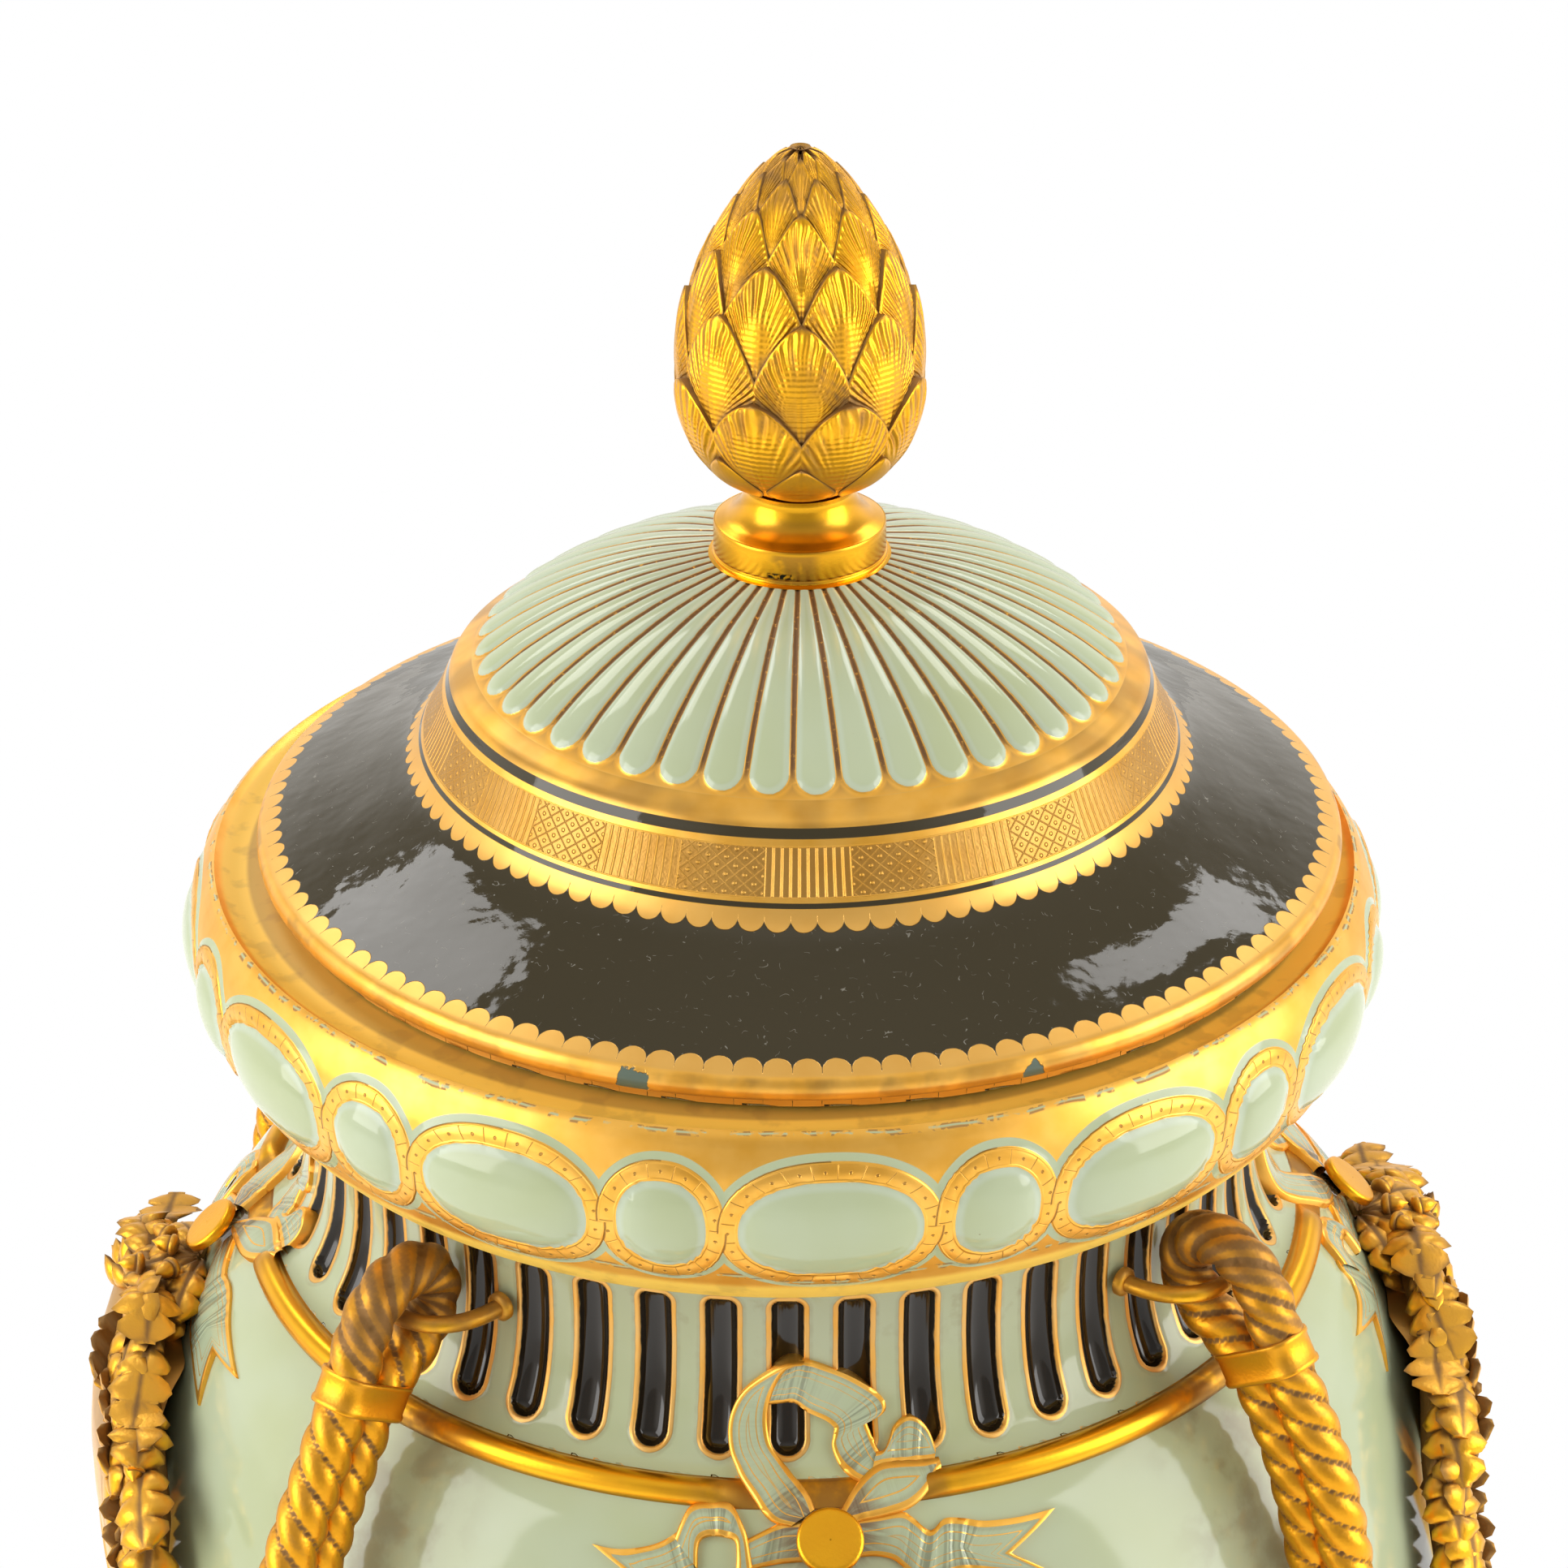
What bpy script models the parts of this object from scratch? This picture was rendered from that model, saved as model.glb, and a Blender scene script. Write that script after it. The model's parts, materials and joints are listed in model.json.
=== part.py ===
"""A covered mantel urn: celadon porcelain with gilt bronze mounts, 56 cm tall.

Lengths below are in millimetres and heights are measured from the plane of the
lid's rim, because every moulding of the urn is laid out from that rim. The
objects themselves are in metres, with the origin under the centre of the
plinth. Azimuth 0 is the front bow, towards -Y, and it grows towards +X.
"""

import math

import bmesh
import bpy
from mathutils import Vector
from mathutils.geometry import delaunay_2d_cdt

MM = 0.001
GAP = 0.3                        # play between pieces that touch

# Driving dimensions.
RIM_HEIGHT = 430.0               # from the ground to the lid's rim plane
LID_OFFSET = (2.8, -0.2)         # the loose lid rests a little off centre in its seat
WALL = 6.0                       # porcelain wall
FLUTES = 48                      # around the neck
BELLY_COLUMNS = 36               # facets around the belly
LID_LOBES = 44                   # convex petals on the dome of the lid
SCALES = 8                       # scales in each row of the pine cone
QUARTERS = (0.0, 90.0, 180.0, 270.0)
CORNERS = (45.0, 135.0, 225.0, 315.0)

# Outer profile of the body as (radius, height), from the ridge of the collar down.
COLLAR_OUTLINE = [(105.6, -5.8), (108.3, -9.5), (110.0, -16.0), (110.0, -22.0),
                  (108.5, -29.0), (105.5, -35.5), (101.5, -41.0), (99.5, -42.8)]
NECK_OUTLINE = [(90.2, -45.6), (89.3, -56.0), (89.6, -65.0), (91.2, -72.0), (98.2, -81.3)]
BELLY_OUTLINE = [(103.3, -84.4), (107.2, -88.0), (114.2, -98.5), (121.6, -115.0), (128.4, -138.5),
                 (131.0, -160.0), (127.8, -196.0), (114.0, -236.0), (86.0, -279.0), (49.0, -315.0)]
SEAT_LEVEL = -6.2                # ledge that carries the lid
MOUTH_RADIUS = 93.0
RING_CENTRE = (101.0, -83.0)     # half-round gilt band on the shoulder
RING_RADIUS = 2.7
BODY_BOTTOM = -318.0
BODY_FOOT_RADIUS = 36.0

# Cabochons of the guilloche on the collar: half angle, half height, how far they stand out.
OVAL = (8.2, 9.6, 2.3)
ROUND = (4.0, 8.4, 2.0)
CABOCHON_LEVEL = -22.6

# One flute of the neck: half angle, depth, and the levels along it.
FLUTE_HALF = 1.8
FLUTE_DEPTH = 2.2
FLUTE_TOP = -47.0
FLUTE_WAIST = -65.0
FLUTE_SHOULDER = -76.6
FLUTE_BOTTOM = -79.2

# Raised tablet inside each garland.
TABLET_HALF_WIDTH = 36.0
TABLET_TOP = -104.0
TABLET_BOTTOM = -202.0
TABLET_CORNER = 14.0
TABLET_OUTLINE = [(127.0, -104.0), (131.0, -106.5), (133.8, -110.5), (135.3, -116.0), (136.2, -123.0),
                  (136.4, -131.0), (135.9, -140.0), (134.1, -165.0), (131.6, -185.0), (128.8, -202.0)]
TABLET_RECESS = 1.6              # depth of the panel sunk in its lower part
PANEL_HALF_WIDTH = 28.0
PANEL_TOP = -143.0
PANEL_BOTTOM = -194.0
PANEL_CORNER = 20.0

# Rope handles, as (radius, height) in their own vertical plane.
ROPE_RADIUS = 5.2
ROPE_LAY = 86.0                  # length of one full turn of the coarse twist
ROPE_STATION = 10.8              # between two sections of the rope
ROPE_SIDES = 5
ROPE_SPACING = 11.0              # between the two legs
ROPE_PAIR = [(113.9, -71.5), (122.0, -84.8), (130.6, -100.2), (138.2, -119.5),
             (142.6, -140.0), (143.9, -158.0), (143.7, -167.0)]
ROPE_TOP_LOOP = [(109.2, -74.3), (101.3, -67.4), (96.6, -62.4), (95.3, -57.4), (97.6, -53.2),
                 (102.3, -51.8), (107.6, -53.4), (111.8, -57.4), (114.9, -63.3)]
ROPE_LOWER_LOOP = [(151.0, -177.0), (150.6, -185.5), (146.6, -190.6), (140.4, -190.6),
                   (136.4, -185.5), (136.0, -177.0)]
BAND_LENGTH = 6.5
BAND_HALF_WIDTH = 6.0
BAND_HALF_DEPTH = 12.0

STAPLE_WIRE = 1.7                # its radius
STAPLE_HALF_SPAN = 11.4
UPPER_STAPLE = (104.2, -60.2)    # centre of the wire where the rope hangs on it
LOWER_STAPLE = (143.5, -182.2)

# Oak garland: centre line of one side as (azimuth, height), standing off the body.
GARLAND_LINE = [(0.0, -93.4), (7.5, -94.6), (15.0, -98.0), (20.2, -108.0), (22.3, -124.0),
                (22.8, -145.0), (22.6, -167.0), (21.0, -188.0), (15.2, -208.0), (5.0, -215.5)]
GARLAND_HALF_WIDTH = 8.8
GARLAND_HALF_DEPTH = 6.4
GARLAND_TOP_RADIUS = 119.4
BOSS_RADIUS = 5.9
BOSS_SIDES = 10
BOSS_CENTRE = (110.6, -85.9)
BOSS_NORMAL = (0.648, 0.762)     # radial and upward parts of its outward direction


# ---------------------------------------------------------------- general helpers

def clear_scene():
    for old in list(bpy.data.objects):
        bpy.data.objects.remove(old)


def material(name, colour, roughness, metallic):
    made = bpy.data.materials.new(name)
    made.use_nodes = True
    shader = made.node_tree.nodes["Principled BSDF"]
    shader.inputs["Base Color"].default_value = (*colour, 1.0)
    shader.inputs["Roughness"].default_value = roughness
    shader.inputs["Metallic"].default_value = metallic
    made.diffuse_color = (*colour, 1.0)
    return made


def around(azimuth, radius, height):
    """The point at this azimuth, in millimetres from the rim plane."""
    angle = math.radians(azimuth)
    return Vector((radius * math.sin(angle), -radius * math.cos(angle), height))


def smooth_curve(points, steps, closed=False):
    """Points of a Catmull-Rom curve through these ones, with some steps for each span."""
    count = len(points)
    spans = count if closed else count - 1
    found = []
    for span in range(spans):
        ids = [span - 1, span, span + 1, span + 2]
        if closed:
            ids = [i % count for i in ids]
        else:
            ids = [min(max(i, 0), count - 1) for i in ids]
        a, b, c, d = (Vector(points[i]) for i in ids)
        for step in range(steps):
            t = step / steps
            found.append(0.5 * (2 * b + (c - a) * t + (2 * a - 5 * b + 4 * c - d) * t * t
                                + (3 * b - a - 3 * c + d) * t * t * t))
    if not closed:
        found.append(Vector(points[-1]))
    return found


def outline_radius(outline, height):
    """Radius of a profile at this height, between its points."""
    for (r0, z0), (r1, z1) in zip(outline, outline[1:]):
        if z0 >= height >= z1:
            return r0 + (r1 - r0) * (z0 - height) / (z0 - z1)
    return outline[0][0] if height > outline[0][1] else outline[-1][0]


def evenly(count):
    return [360.0 * i / count for i in range(count)]


class Skin:
    """Vertices and faces of one closed surface, gathered strip by strip."""

    def __init__(self):
        self.mesh = bmesh.new()

    def vertex(self, point):
        return self.mesh.verts.new(point)

    def face(self, corners):
        if len(set(corners)) == len(corners):
            self.mesh.faces.new(corners)

    def ring(self, radius, height, azimuths):
        """A horizontal ring of vertices. radius may be a function of azimuth."""
        reach = radius if callable(radius) else lambda azimuth: radius
        return [(azimuth, self.vertex(around(azimuth, reach(azimuth), height)))
                for azimuth in azimuths]

    def stitch(self, upper, lower):
        """Triangles between two rings, which may differ in how many vertices they have."""
        top = upper + [(upper[0][0] + 360.0, upper[0][1])]
        low = lower + [(lower[0][0] + 360.0, lower[0][1])]
        i = j = 0
        while i < len(upper) or j < len(lower):
            forward = i < len(upper) and (j == len(lower) or top[i + 1][0] <= low[j + 1][0])
            if forward:
                self.face([top[i][1], low[j][1], top[i + 1][1]])
                i += 1
            else:
                self.face([top[i][1], low[j][1], low[j + 1][1]])
                j += 1

    def strips(self, rings):
        for upper, lower in zip(rings, rings[1:]):
            self.stitch(upper, lower)

    def cap(self, ring, height, flip=False):
        """Closes a ring with a fan round one vertex on the axis."""
        centre = self.vertex((0.0, 0.0, height))
        for (_, a), (_, b) in zip(ring, ring[1:] + ring[:1]):
            self.face([centre, b, a] if flip else [centre, a, b])

    def patch(self, flat, loops, place):
        """Triangles over points of a flat drawing, each then set in place by a function."""
        edges = [(loop[i], loop[(i + 1) % len(loop)]) for loop in loops for i in range(len(loop))]
        points, _, faces, origins, _, _ = delaunay_2d_cdt(
            [Vector(p[:2]) for p in flat], edges, [], 0, 1e-4)
        corners = [self.vertex(place(flat[origins[i][0]])) for i in range(len(points))]
        for face in faces:
            self.face([corners[i] for i in face])

    def finish(self, name, surface, sharp=35.0, offset=(0.0, 0.0)):
        bmesh.ops.remove_doubles(self.mesh, verts=self.mesh.verts, dist=0.02)
        bmesh.ops.recalc_face_normals(self.mesh, faces=self.mesh.faces)
        for vertex in self.mesh.verts:
            x, y, z = vertex.co
            vertex.co = ((x + offset[0]) * MM, (y + offset[1]) * MM, (z + RIM_HEIGHT) * MM)
        mesh = bpy.data.meshes.new(name)
        self.mesh.to_mesh(mesh)
        self.mesh.free()
        mesh.materials.append(surface)
        mesh.shade_smooth()
        mesh.set_sharp_from_angle(angle=math.radians(sharp))
        made = bpy.data.objects.new(name, mesh)
        bpy.context.scene.collection.objects.link(made)
        return made


def sweep(skin, stations, closed=False, ends=True):
    """A skin over stations, each a list of points round a section of the shape."""
    rings = [[skin.vertex(point) for point in station] for station in stations]
    pairs = list(zip(rings, rings[1:]))
    if closed:
        pairs.append((rings[-1], rings[0]))
    for first, second in pairs:
        for k in range(len(first)):
            after = (k + 1) % len(first)
            skin.face([first[k], first[after], second[after], second[k]])
    if ends and not closed:
        skin.face(rings[0][::-1])
        skin.face(rings[-1])
    return rings


def join(base, pieces):
    """Unites the pieces with the base, and hides them as helpers."""
    for piece in pieces:
        union = base.modifiers.new("join " + piece.name, "BOOLEAN")
        union.operation = "UNION"
        union.object = piece
        piece.hide_render = True
        piece.display_type = "WIRE"


# ---------------------------------------------------------------- porcelain body

def belly_surface(azimuth, height, lift):
    """A point of the neck or belly at this azimuth and height, lifted off along the normal."""
    outline = NECK_OUTLINE + BELLY_OUTLINE
    step = 0.5
    radius = outline_radius(outline, height)
    slope = Vector((outline_radius(outline, height - step) - outline_radius(outline, height + step),
                    -2 * step)).normalized()
    return around(azimuth, radius - slope.y * lift, height + slope.x * lift)


def collar_sector(skin, start):
    """Thirty degrees of the collar: one oval cabochon and one round one."""
    width = 30.0
    left = start - 9.6
    scale = math.radians(1.0) * 105.0
    flat = []
    loops = []

    def cabochon(centre, shape, rim, inner):
        half_angle, half_height, rise = shape
        loop = []
        for share, count, lift in ((1.0, rim, 0.0), (0.62, inner, 0.8 * rise)):
            ids = []
            for k in range(count):
                turn = 2 * math.pi * (k + 0.5) / count
                ids.append(len(flat))
                flat.append(((centre + share * half_angle * math.cos(turn)) * scale,
                             CABOCHON_LEVEL + share * half_height * math.sin(turn), lift))
            loop.append(ids)
        flat.append((centre * scale, CABOCHON_LEVEL, rise))
        loops.extend(loop)

    cabochon(start, OVAL, 10, 5)
    cabochon(start + 15.0, ROUND, 8, 4)
    levels = [z for _, z in COLLAR_OUTLINE]
    for k in range(5):
        azimuth = left + width * k / 4
        flat.append((azimuth * scale, levels[0], 0.0))
        flat.append((azimuth * scale, levels[-1], 0.0))
    for azimuth in (left, left + width):
        for level in (-13.0, -31.5):
            flat.append((azimuth * scale, level, 0.0))
    for k in range(1, 6):
        azimuth = left + width * k / 6
        for level in (-9.5, -37.0):
            flat.append((azimuth * scale, level, 0.0))

    def place(point):
        radius = outline_radius(COLLAR_OUTLINE, point[1])
        return around(point[0] / scale, radius + point[2], point[1])

    skin.patch(flat, loops, place)


def flute_sector(skin, centre):
    """One hollow flute of the neck, with half a land on each side."""
    half = 180.0 / FLUTES
    scale = math.radians(1.0) * 92.0
    top = NECK_OUTLINE[0][1]
    bottom = NECK_OUTLINE[-1][1]
    flat = []
    for side in (-half, half):
        for level in (top, FLUTE_WAIST, bottom):
            flat.append((side * scale, level, 0.0))
    first = len(flat)
    edge = [(-FLUTE_HALF, FLUTE_TOP), (-FLUTE_HALF, FLUTE_WAIST), (-FLUTE_HALF, FLUTE_SHOULDER),
            (0.0, FLUTE_BOTTOM),
            (FLUTE_HALF, FLUTE_SHOULDER), (FLUTE_HALF, FLUTE_WAIST), (FLUTE_HALF, FLUTE_TOP)]
    for azimuth, level in edge:
        flat.append((azimuth * scale, level, 0.0))
    loop = list(range(first, len(flat)))
    for level in (FLUTE_TOP - 1.0, FLUTE_WAIST, FLUTE_SHOULDER + 1.0):
        flat.append((0.0, level, -FLUTE_DEPTH))

    def place(point):
        radius = outline_radius(NECK_OUTLINE, point[1])
        return around(centre + point[0] / scale, radius + point[2], point[1])

    skin.patch(flat, [loop], place)


def body_shell(surface):
    skin = Skin()
    # The patches on the collar and the neck end on these azimuths.
    collar_columns = [(-9.6 + 7.5 * k) for k in range(FLUTES)]
    neck_columns = evenly(FLUTES)
    belly_columns = evenly(BELLY_COLUMNS)
    inner_columns = evenly(FLUTES // 2)

    for k in range(12):
        collar_sector(skin, 30.0 * k)
    for k in range(FLUTES):
        flute_sector(skin, 7.5 * (k + 0.5))

    ridge = skin.ring(*COLLAR_OUTLINE[0], collar_columns)
    ledge = skin.ring(104.6, SEAT_LEVEL, collar_columns)
    mouth = skin.ring(MOUTH_RADIUS, SEAT_LEVEL, collar_columns)
    lip = skin.ring(MOUTH_RADIUS - 0.5, -19.0, inner_columns)
    lower_lip = skin.ring(*COLLAR_OUTLINE[-1], collar_columns)
    neck_top = skin.ring(*NECK_OUTLINE[0], neck_columns)
    neck_foot = skin.ring(*NECK_OUTLINE[-1], neck_columns)
    skin.strips([mouth, ledge, ridge])
    skin.strips([lower_lip, neck_top])

    rings = [neck_foot]
    tangent = Vector((0.857, -0.515))
    normal = Vector((0.515, 0.857))
    for turn in (125.0, 55.0):
        point = (Vector(RING_CENTRE) + RING_RADIUS * math.cos(math.radians(turn)) * tangent
                 + RING_RADIUS * math.sin(math.radians(turn)) * normal)
        rings.append(skin.ring(point.x, point.y, neck_columns))
    for radius, height in BELLY_OUTLINE:
        rings.append(skin.ring(radius, height, belly_columns))
    rings.append(skin.ring(BODY_FOOT_RADIUS, BODY_BOTTOM, belly_columns))
    skin.strips(rings)
    skin.cap(rings[-1], BODY_BOTTOM)

    inside = [lip]
    inner_outline = [(84.0, -46.0), (83.0, -68.0), (98.0, -88.0), (117.0, -121.0),
                     (124.0, -158.0), (117.5, -212.0), (86.0, -268.0), (36.0, -305.0)]
    for radius, height in inner_outline:
        inside.append(skin.ring(radius, height, inner_columns))
    for upper, lower in zip(inside, inside[1:]):
        skin.stitch(upper, lower)
    skin.stitch(mouth, lip)
    skin.cap(inside[-1], -308.0)
    return skin.finish("urn_body", surface)


# Ribbons of a bow as (azimuth, height) along the middle of each, with its width.
BOW_RIBBONS = {
    "left loop": ([(-1.6, -84.2), (-7.2, -80.4), (-7.4, -70.0), (-2.4, -65.4), (5.6, -70.6)], 7.0),
    "right fold": ([(5.0, -71.0), (3.2, -76.0), (6.0, -79.4), (10.6, -76.6)], 5.4),
    "right loop": ([(1.8, -84.4), (11.2, -81.2)], 4.6),
    "left tail": ([(-1.6, -86.6), (-9.4, -87.6), (-20.4, -90.4)], 6.2),
    "right tail": ([(1.6, -87.0), (9.6, -90.6), (19.8, -92.0)], 6.6),
}
BOW_RISE = 1.7
BOW_ROOT = 3.2                   # deeper than a flute, so that no pocket is left under a ribbon


def bow_ribbon(name, line, width, quarter, surface):
    """One ribbon of a bow, lying on the body with its root sunk into the wall."""
    skin = Skin()
    scale = 98.0 * math.radians(1.0)
    path = [Vector((azimuth * scale, height)) for azimuth, height in line]
    stations = []
    for k, point in enumerate(path):
        along = (path[min(k + 1, len(path) - 1)] - path[max(k - 1, 0)]).normalized()
        across = Vector((-along.y, along.x)) * width / 2
        station = []
        for side, lift in ((-1, -BOW_ROOT), (1, -BOW_ROOT), (1, BOW_RISE), (-1, BOW_RISE)):
            at = point + side * across
            station.append(belly_surface(quarter + at.x / scale, at.y, lift))
        stations.append(station)
    sweep(skin, stations)
    return skin.finish(name, surface)


def rounded_outline(half_width, top, bottom, corner):
    """Points round a rounded oblong from its foot: where each is struck from, and the way out from there."""
    side = half_width - corner
    between = [bottom + corner + (top - bottom - 2 * corner) * share for share in (0.33, 0.67)]

    def turned(x, z, start):
        turns = [math.radians(start + 45.0 * step) for step in range(3)]
        return [(x, z, math.cos(turn), math.sin(turn)) for turn in turns]

    right = turned(side, bottom + corner, 270.0)
    right += [(side, z, 1.0, 0.0) for z in between]
    right += turned(side, top - corner, 0.0)
    left = [(-x, z, -along, up) for x, z, along, up in reversed(right)]
    return [(0.0, bottom + corner, 0.0, -1.0)] + right + [(0.0, top - corner, 0.0, 1.0)] + left


def tablet(name, quarter, surface):
    """A raised gilded tablet, bowed both ways like the belly, with a panel sunk in its lower part."""
    skin = Skin()
    degree = math.radians(1.0) * TABLET_OUTLINE[5][0]
    edge = (TABLET_HALF_WIDTH, TABLET_TOP, TABLET_BOTTOM, TABLET_CORNER)
    panel = (PANEL_HALF_WIDTH, PANEL_TOP, PANEL_BOTTOM, PANEL_CORNER)

    def place(point):
        reach = outline_radius(TABLET_OUTLINE, point[1]) + point[2]
        return around(quarter + point[0] / degree, reach, point[1])

    def root(point):
        reach = outline_radius(BELLY_OUTLINE, point[1]) - 0.5 * WALL
        return around(quarter + point[0] / degree, reach, point[1])

    def loop(shape, inset, lift):
        reach = shape[3] - inset
        return [(x + reach * along, z + reach * up, lift) for x, z, along, up in rounded_outline(*shape)]

    sides = [[root(point) for point in loop(edge, 0.0, 0.0)],
             [place(point) for point in loop(edge, 0.0, -2.0)],
             [place(point) for point in loop(edge, 2.0, 0.0)]]
    skin.face(sweep(skin, sides, ends=False)[0][::-1])
    count = len(sides[0])
    flat = loop(edge, 2.0, 0.0) + loop(panel, 0.0, 0.0) + loop(panel, 1.0, -TABLET_RECESS)
    loops = [list(range(start, start + count)) for start in (0, count, 2 * count)]
    for share in (-0.5, 0.0, 0.5):
        for height, lift in ((-110.5, 0.0), (-120.0, 0.0), (-131.0, 0.0),
                             (-158.0, -TABLET_RECESS), (-176.0, -TABLET_RECESS)):
            flat.append((share * TABLET_HALF_WIDTH, height, lift))
    skin.patch(flat, loops, place)
    return skin.finish(name, surface)


def urn_body(celadon, gilt):
    body = body_shell(celadon)
    pieces = []
    for number, quarter in enumerate(QUARTERS):
        for label, (line, width) in BOW_RIBBONS.items():
            pieces.append(bow_ribbon(f"bow {number} {label}", line, width, quarter, celadon))
        pieces.append(tablet(f"tablet {number}", quarter, gilt))
    join(body, pieces)
    tidy = body.modifiers.new("merge flat faces", "DECIMATE")
    tidy.decimate_type = "DISSOLVE"
    tidy.angle_limit = math.radians(8.0)
    return body


# ---------------------------------------------------------------- lid and finial

def lid(surface):
    """The domed lid: forty-four petals, a tooled band, a wide brim and a locating flange."""
    skin = Skin()
    half_pitch = 180.0 / LID_LOBES
    lobed = evenly(2 * LID_LOBES)
    plain = evenly(LID_LOBES)
    coarse = evenly(LID_LOBES // 2)

    def petal(ridge, groove):
        return lambda azimuth: ridge if round(azimuth / half_pitch) % 2 else groove

    dome = [skin.ring(16.4, 52.0, plain),
            skin.ring(petal(41.0, 40.2), 45.4, lobed),
            skin.ring(petal(56.6, 55.2), 35.9, lobed),
            skin.ring(petal(59.4, 58.0), 33.3, lobed)]
    outside = [(64.2, 29.6), (69.7, 17.3), (72.4, 13.8), (84.0, 7.4),
               (99.6, 0.8), (100.4, -1.8), (97.4, SEAT_LEVEL + GAP), (86.6, SEAT_LEVEL + GAP)]
    inside = [(86.4, -15.0), (81.5, -15.0), (80.0, -1.0), (64.0, 10.0), (55.0, 29.0), (30.0, 43.0)]
    rings = dome + [skin.ring(r, z, plain) for r, z in outside]
    rings += [skin.ring(r, z, coarse) for r, z in inside]
    skin.strips(rings)
    skin.cap(dome[0], 52.0)
    skin.cap(rings[-1], 46.5)
    return skin.finish("lid", surface, offset=LID_OFFSET)


def cone_radius(height):
    """Half width of the pine cone over its length, from the neck to the tip."""
    outline = [(12.5, 63.6), (17.2, 67.8), (20.6, 73.5), (22.2, 80.0), (22.6, 87.5),
               (22.0, 95.0), (20.3, 102.5), (17.6, 109.5), (14.2, 116.0), (10.2, 122.0),
               (5.6, 127.0), (2.0, 129.6)]
    for (r0, z0), (r1, z1) in zip(outline, outline[1:]):
        if z0 <= height <= z1:
            return r0 + (r1 - r0) * (height - z0) / (z1 - z0)
    return outline[0][0] if height < outline[0][1] else outline[-1][0]


def pine_cone_finial(surface):
    """Turned collar and neck, and a cone of overlapping scales staggered row by row."""
    skin = Skin()
    columns = evenly(2 * SCALES)
    base = [(16.1, 52.0 + GAP), (16.2, 53.4), (15.6, 59.2), (11.4, 59.6), (9.7, 61.4), (10.6, 63.0)]
    rings = [skin.ring(r, z, columns) for r, z in base]
    row_tips = [70.5, 78.6, 89.6, 102.4, 111.8, 119.2, 124.0, 127.4]
    for row, tip in enumerate(row_tips):
        below = row_tips[row - 1] if row else 64.0
        middle = 0.45 * below + 0.55 * tip

        def bulge(azimuth, height=middle, row=row):
            on_scale = (round(azimuth * SCALES / 180.0) + row) % 2 == 1
            reach = cone_radius(height)
            return reach if on_scale else 0.93 * reach

        def edge(azimuth, height=tip, row=row):
            on_scale = (round(azimuth * SCALES / 180.0) + row) % 2 == 1
            reach = cone_radius(height)
            return 1.02 * reach if on_scale else 0.9 * reach

        rings.append(skin.ring(bulge, middle, columns))
        rings.append(skin.ring(edge, tip, columns))
    skin.strips(rings[::-1])
    skin.cap(rings[-1], 129.8)
    skin.cap(rings[0], 52.0 + GAP)
    return skin.finish("pine_cone_finial", surface, sharp=60.0, offset=LID_OFFSET)


# ---------------------------------------------------------------- gilt bronze mounts

def in_plane(azimuth, point, aside=0.0):
    """A point of the vertical plane at this azimuth, moved sideways by some millimetres."""
    angle = math.radians(azimuth)
    return around(azimuth, point[0], point[1]) + aside * Vector((math.cos(angle), math.sin(angle), 0))


def rope_line():
    """Closed centre line of the doubled rope, in its own plane."""
    pair = smooth_curve(ROPE_PAIR, 2)
    outer = []
    inner = []
    for k, point in enumerate(pair):
        along = (pair[min(k + 1, len(pair) - 1)] - pair[max(k - 1, 0)]).normalized()
        away = Vector((-along.y, along.x)) * ROPE_SPACING / 2
        outer.append(point + away)
        inner.append(point - away)
    loops = [[Vector(point) for point in loop] for loop in (ROPE_TOP_LOOP, ROPE_LOWER_LOOP)]
    return smooth_curve(loops[0][1:] + outer + loops[1] + inner[::-1], 4, True)


def rope_section(line, spacing):
    """Stations at an even spacing along a closed line: point, direction, distance so far."""
    lengths = [(line[(k + 1) % len(line)] - line[k]).length for k in range(len(line))]
    total = sum(lengths)
    count = round(total / spacing)
    found = []
    k = 0
    start = 0.0
    for station in range(count):
        wanted = total * station / count
        while start + lengths[k] < wanted:
            start += lengths[k]
            k += 1
        a = line[k]
        b = line[(k + 1) % len(line)]
        found.append((a.lerp(b, (wanted - start) / lengths[k]), (b - a).normalized(), wanted))
    return found, total


def rope(name, azimuth, surface):
    """A doubled rope, cast in one, with a band round both legs at each end."""
    skin = Skin()
    stations, total = rope_section(rope_line(), ROPE_STATION)
    turns = round(total / ROPE_LAY)
    rings = []
    for point, along, distance in stations:
        away = Vector((-along.y, along.x))
        ring = []
        for k in range(ROPE_SIDES):
            turn = 2 * math.pi * (k / ROPE_SIDES + turns * distance / total)
            at = point + away * (1.05 * ROPE_RADIUS * math.cos(turn))
            ring.append(in_plane(azimuth, at, 1.05 * ROPE_RADIUS * math.sin(turn)))
        rings.append(ring)
    sweep(skin, rings, closed=True)
    body = skin.finish(name, surface, sharp=70.0)
    join(body, [rope_band(f"{name} upper band", azimuth, 0, surface),
                rope_band(f"{name} lower band", azimuth, -2, surface)])
    return body


def rope_band(name, azimuth, where, surface):
    """The flat band that holds the two legs of a rope together."""
    skin = Skin()
    pair = [Vector(p) for p in ROPE_PAIR]
    point = pair[where]
    along = (pair[where + 1] - point).normalized()
    away = Vector((-along.y, along.x))
    stations = []
    for end in (-0.5, 0.5):
        station = []
        for across, aside in ((-1.0, -1.0), (1.0, -1.0), (1.0, 1.0), (-1.0, 1.0)):
            at = point + along * (end * BAND_LENGTH) + away * (across * BAND_HALF_DEPTH)
            station.append(in_plane(azimuth, at, aside * BAND_HALF_WIDTH))
        stations.append(station)
    sweep(skin, stations)
    return skin.finish(name, surface)


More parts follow.
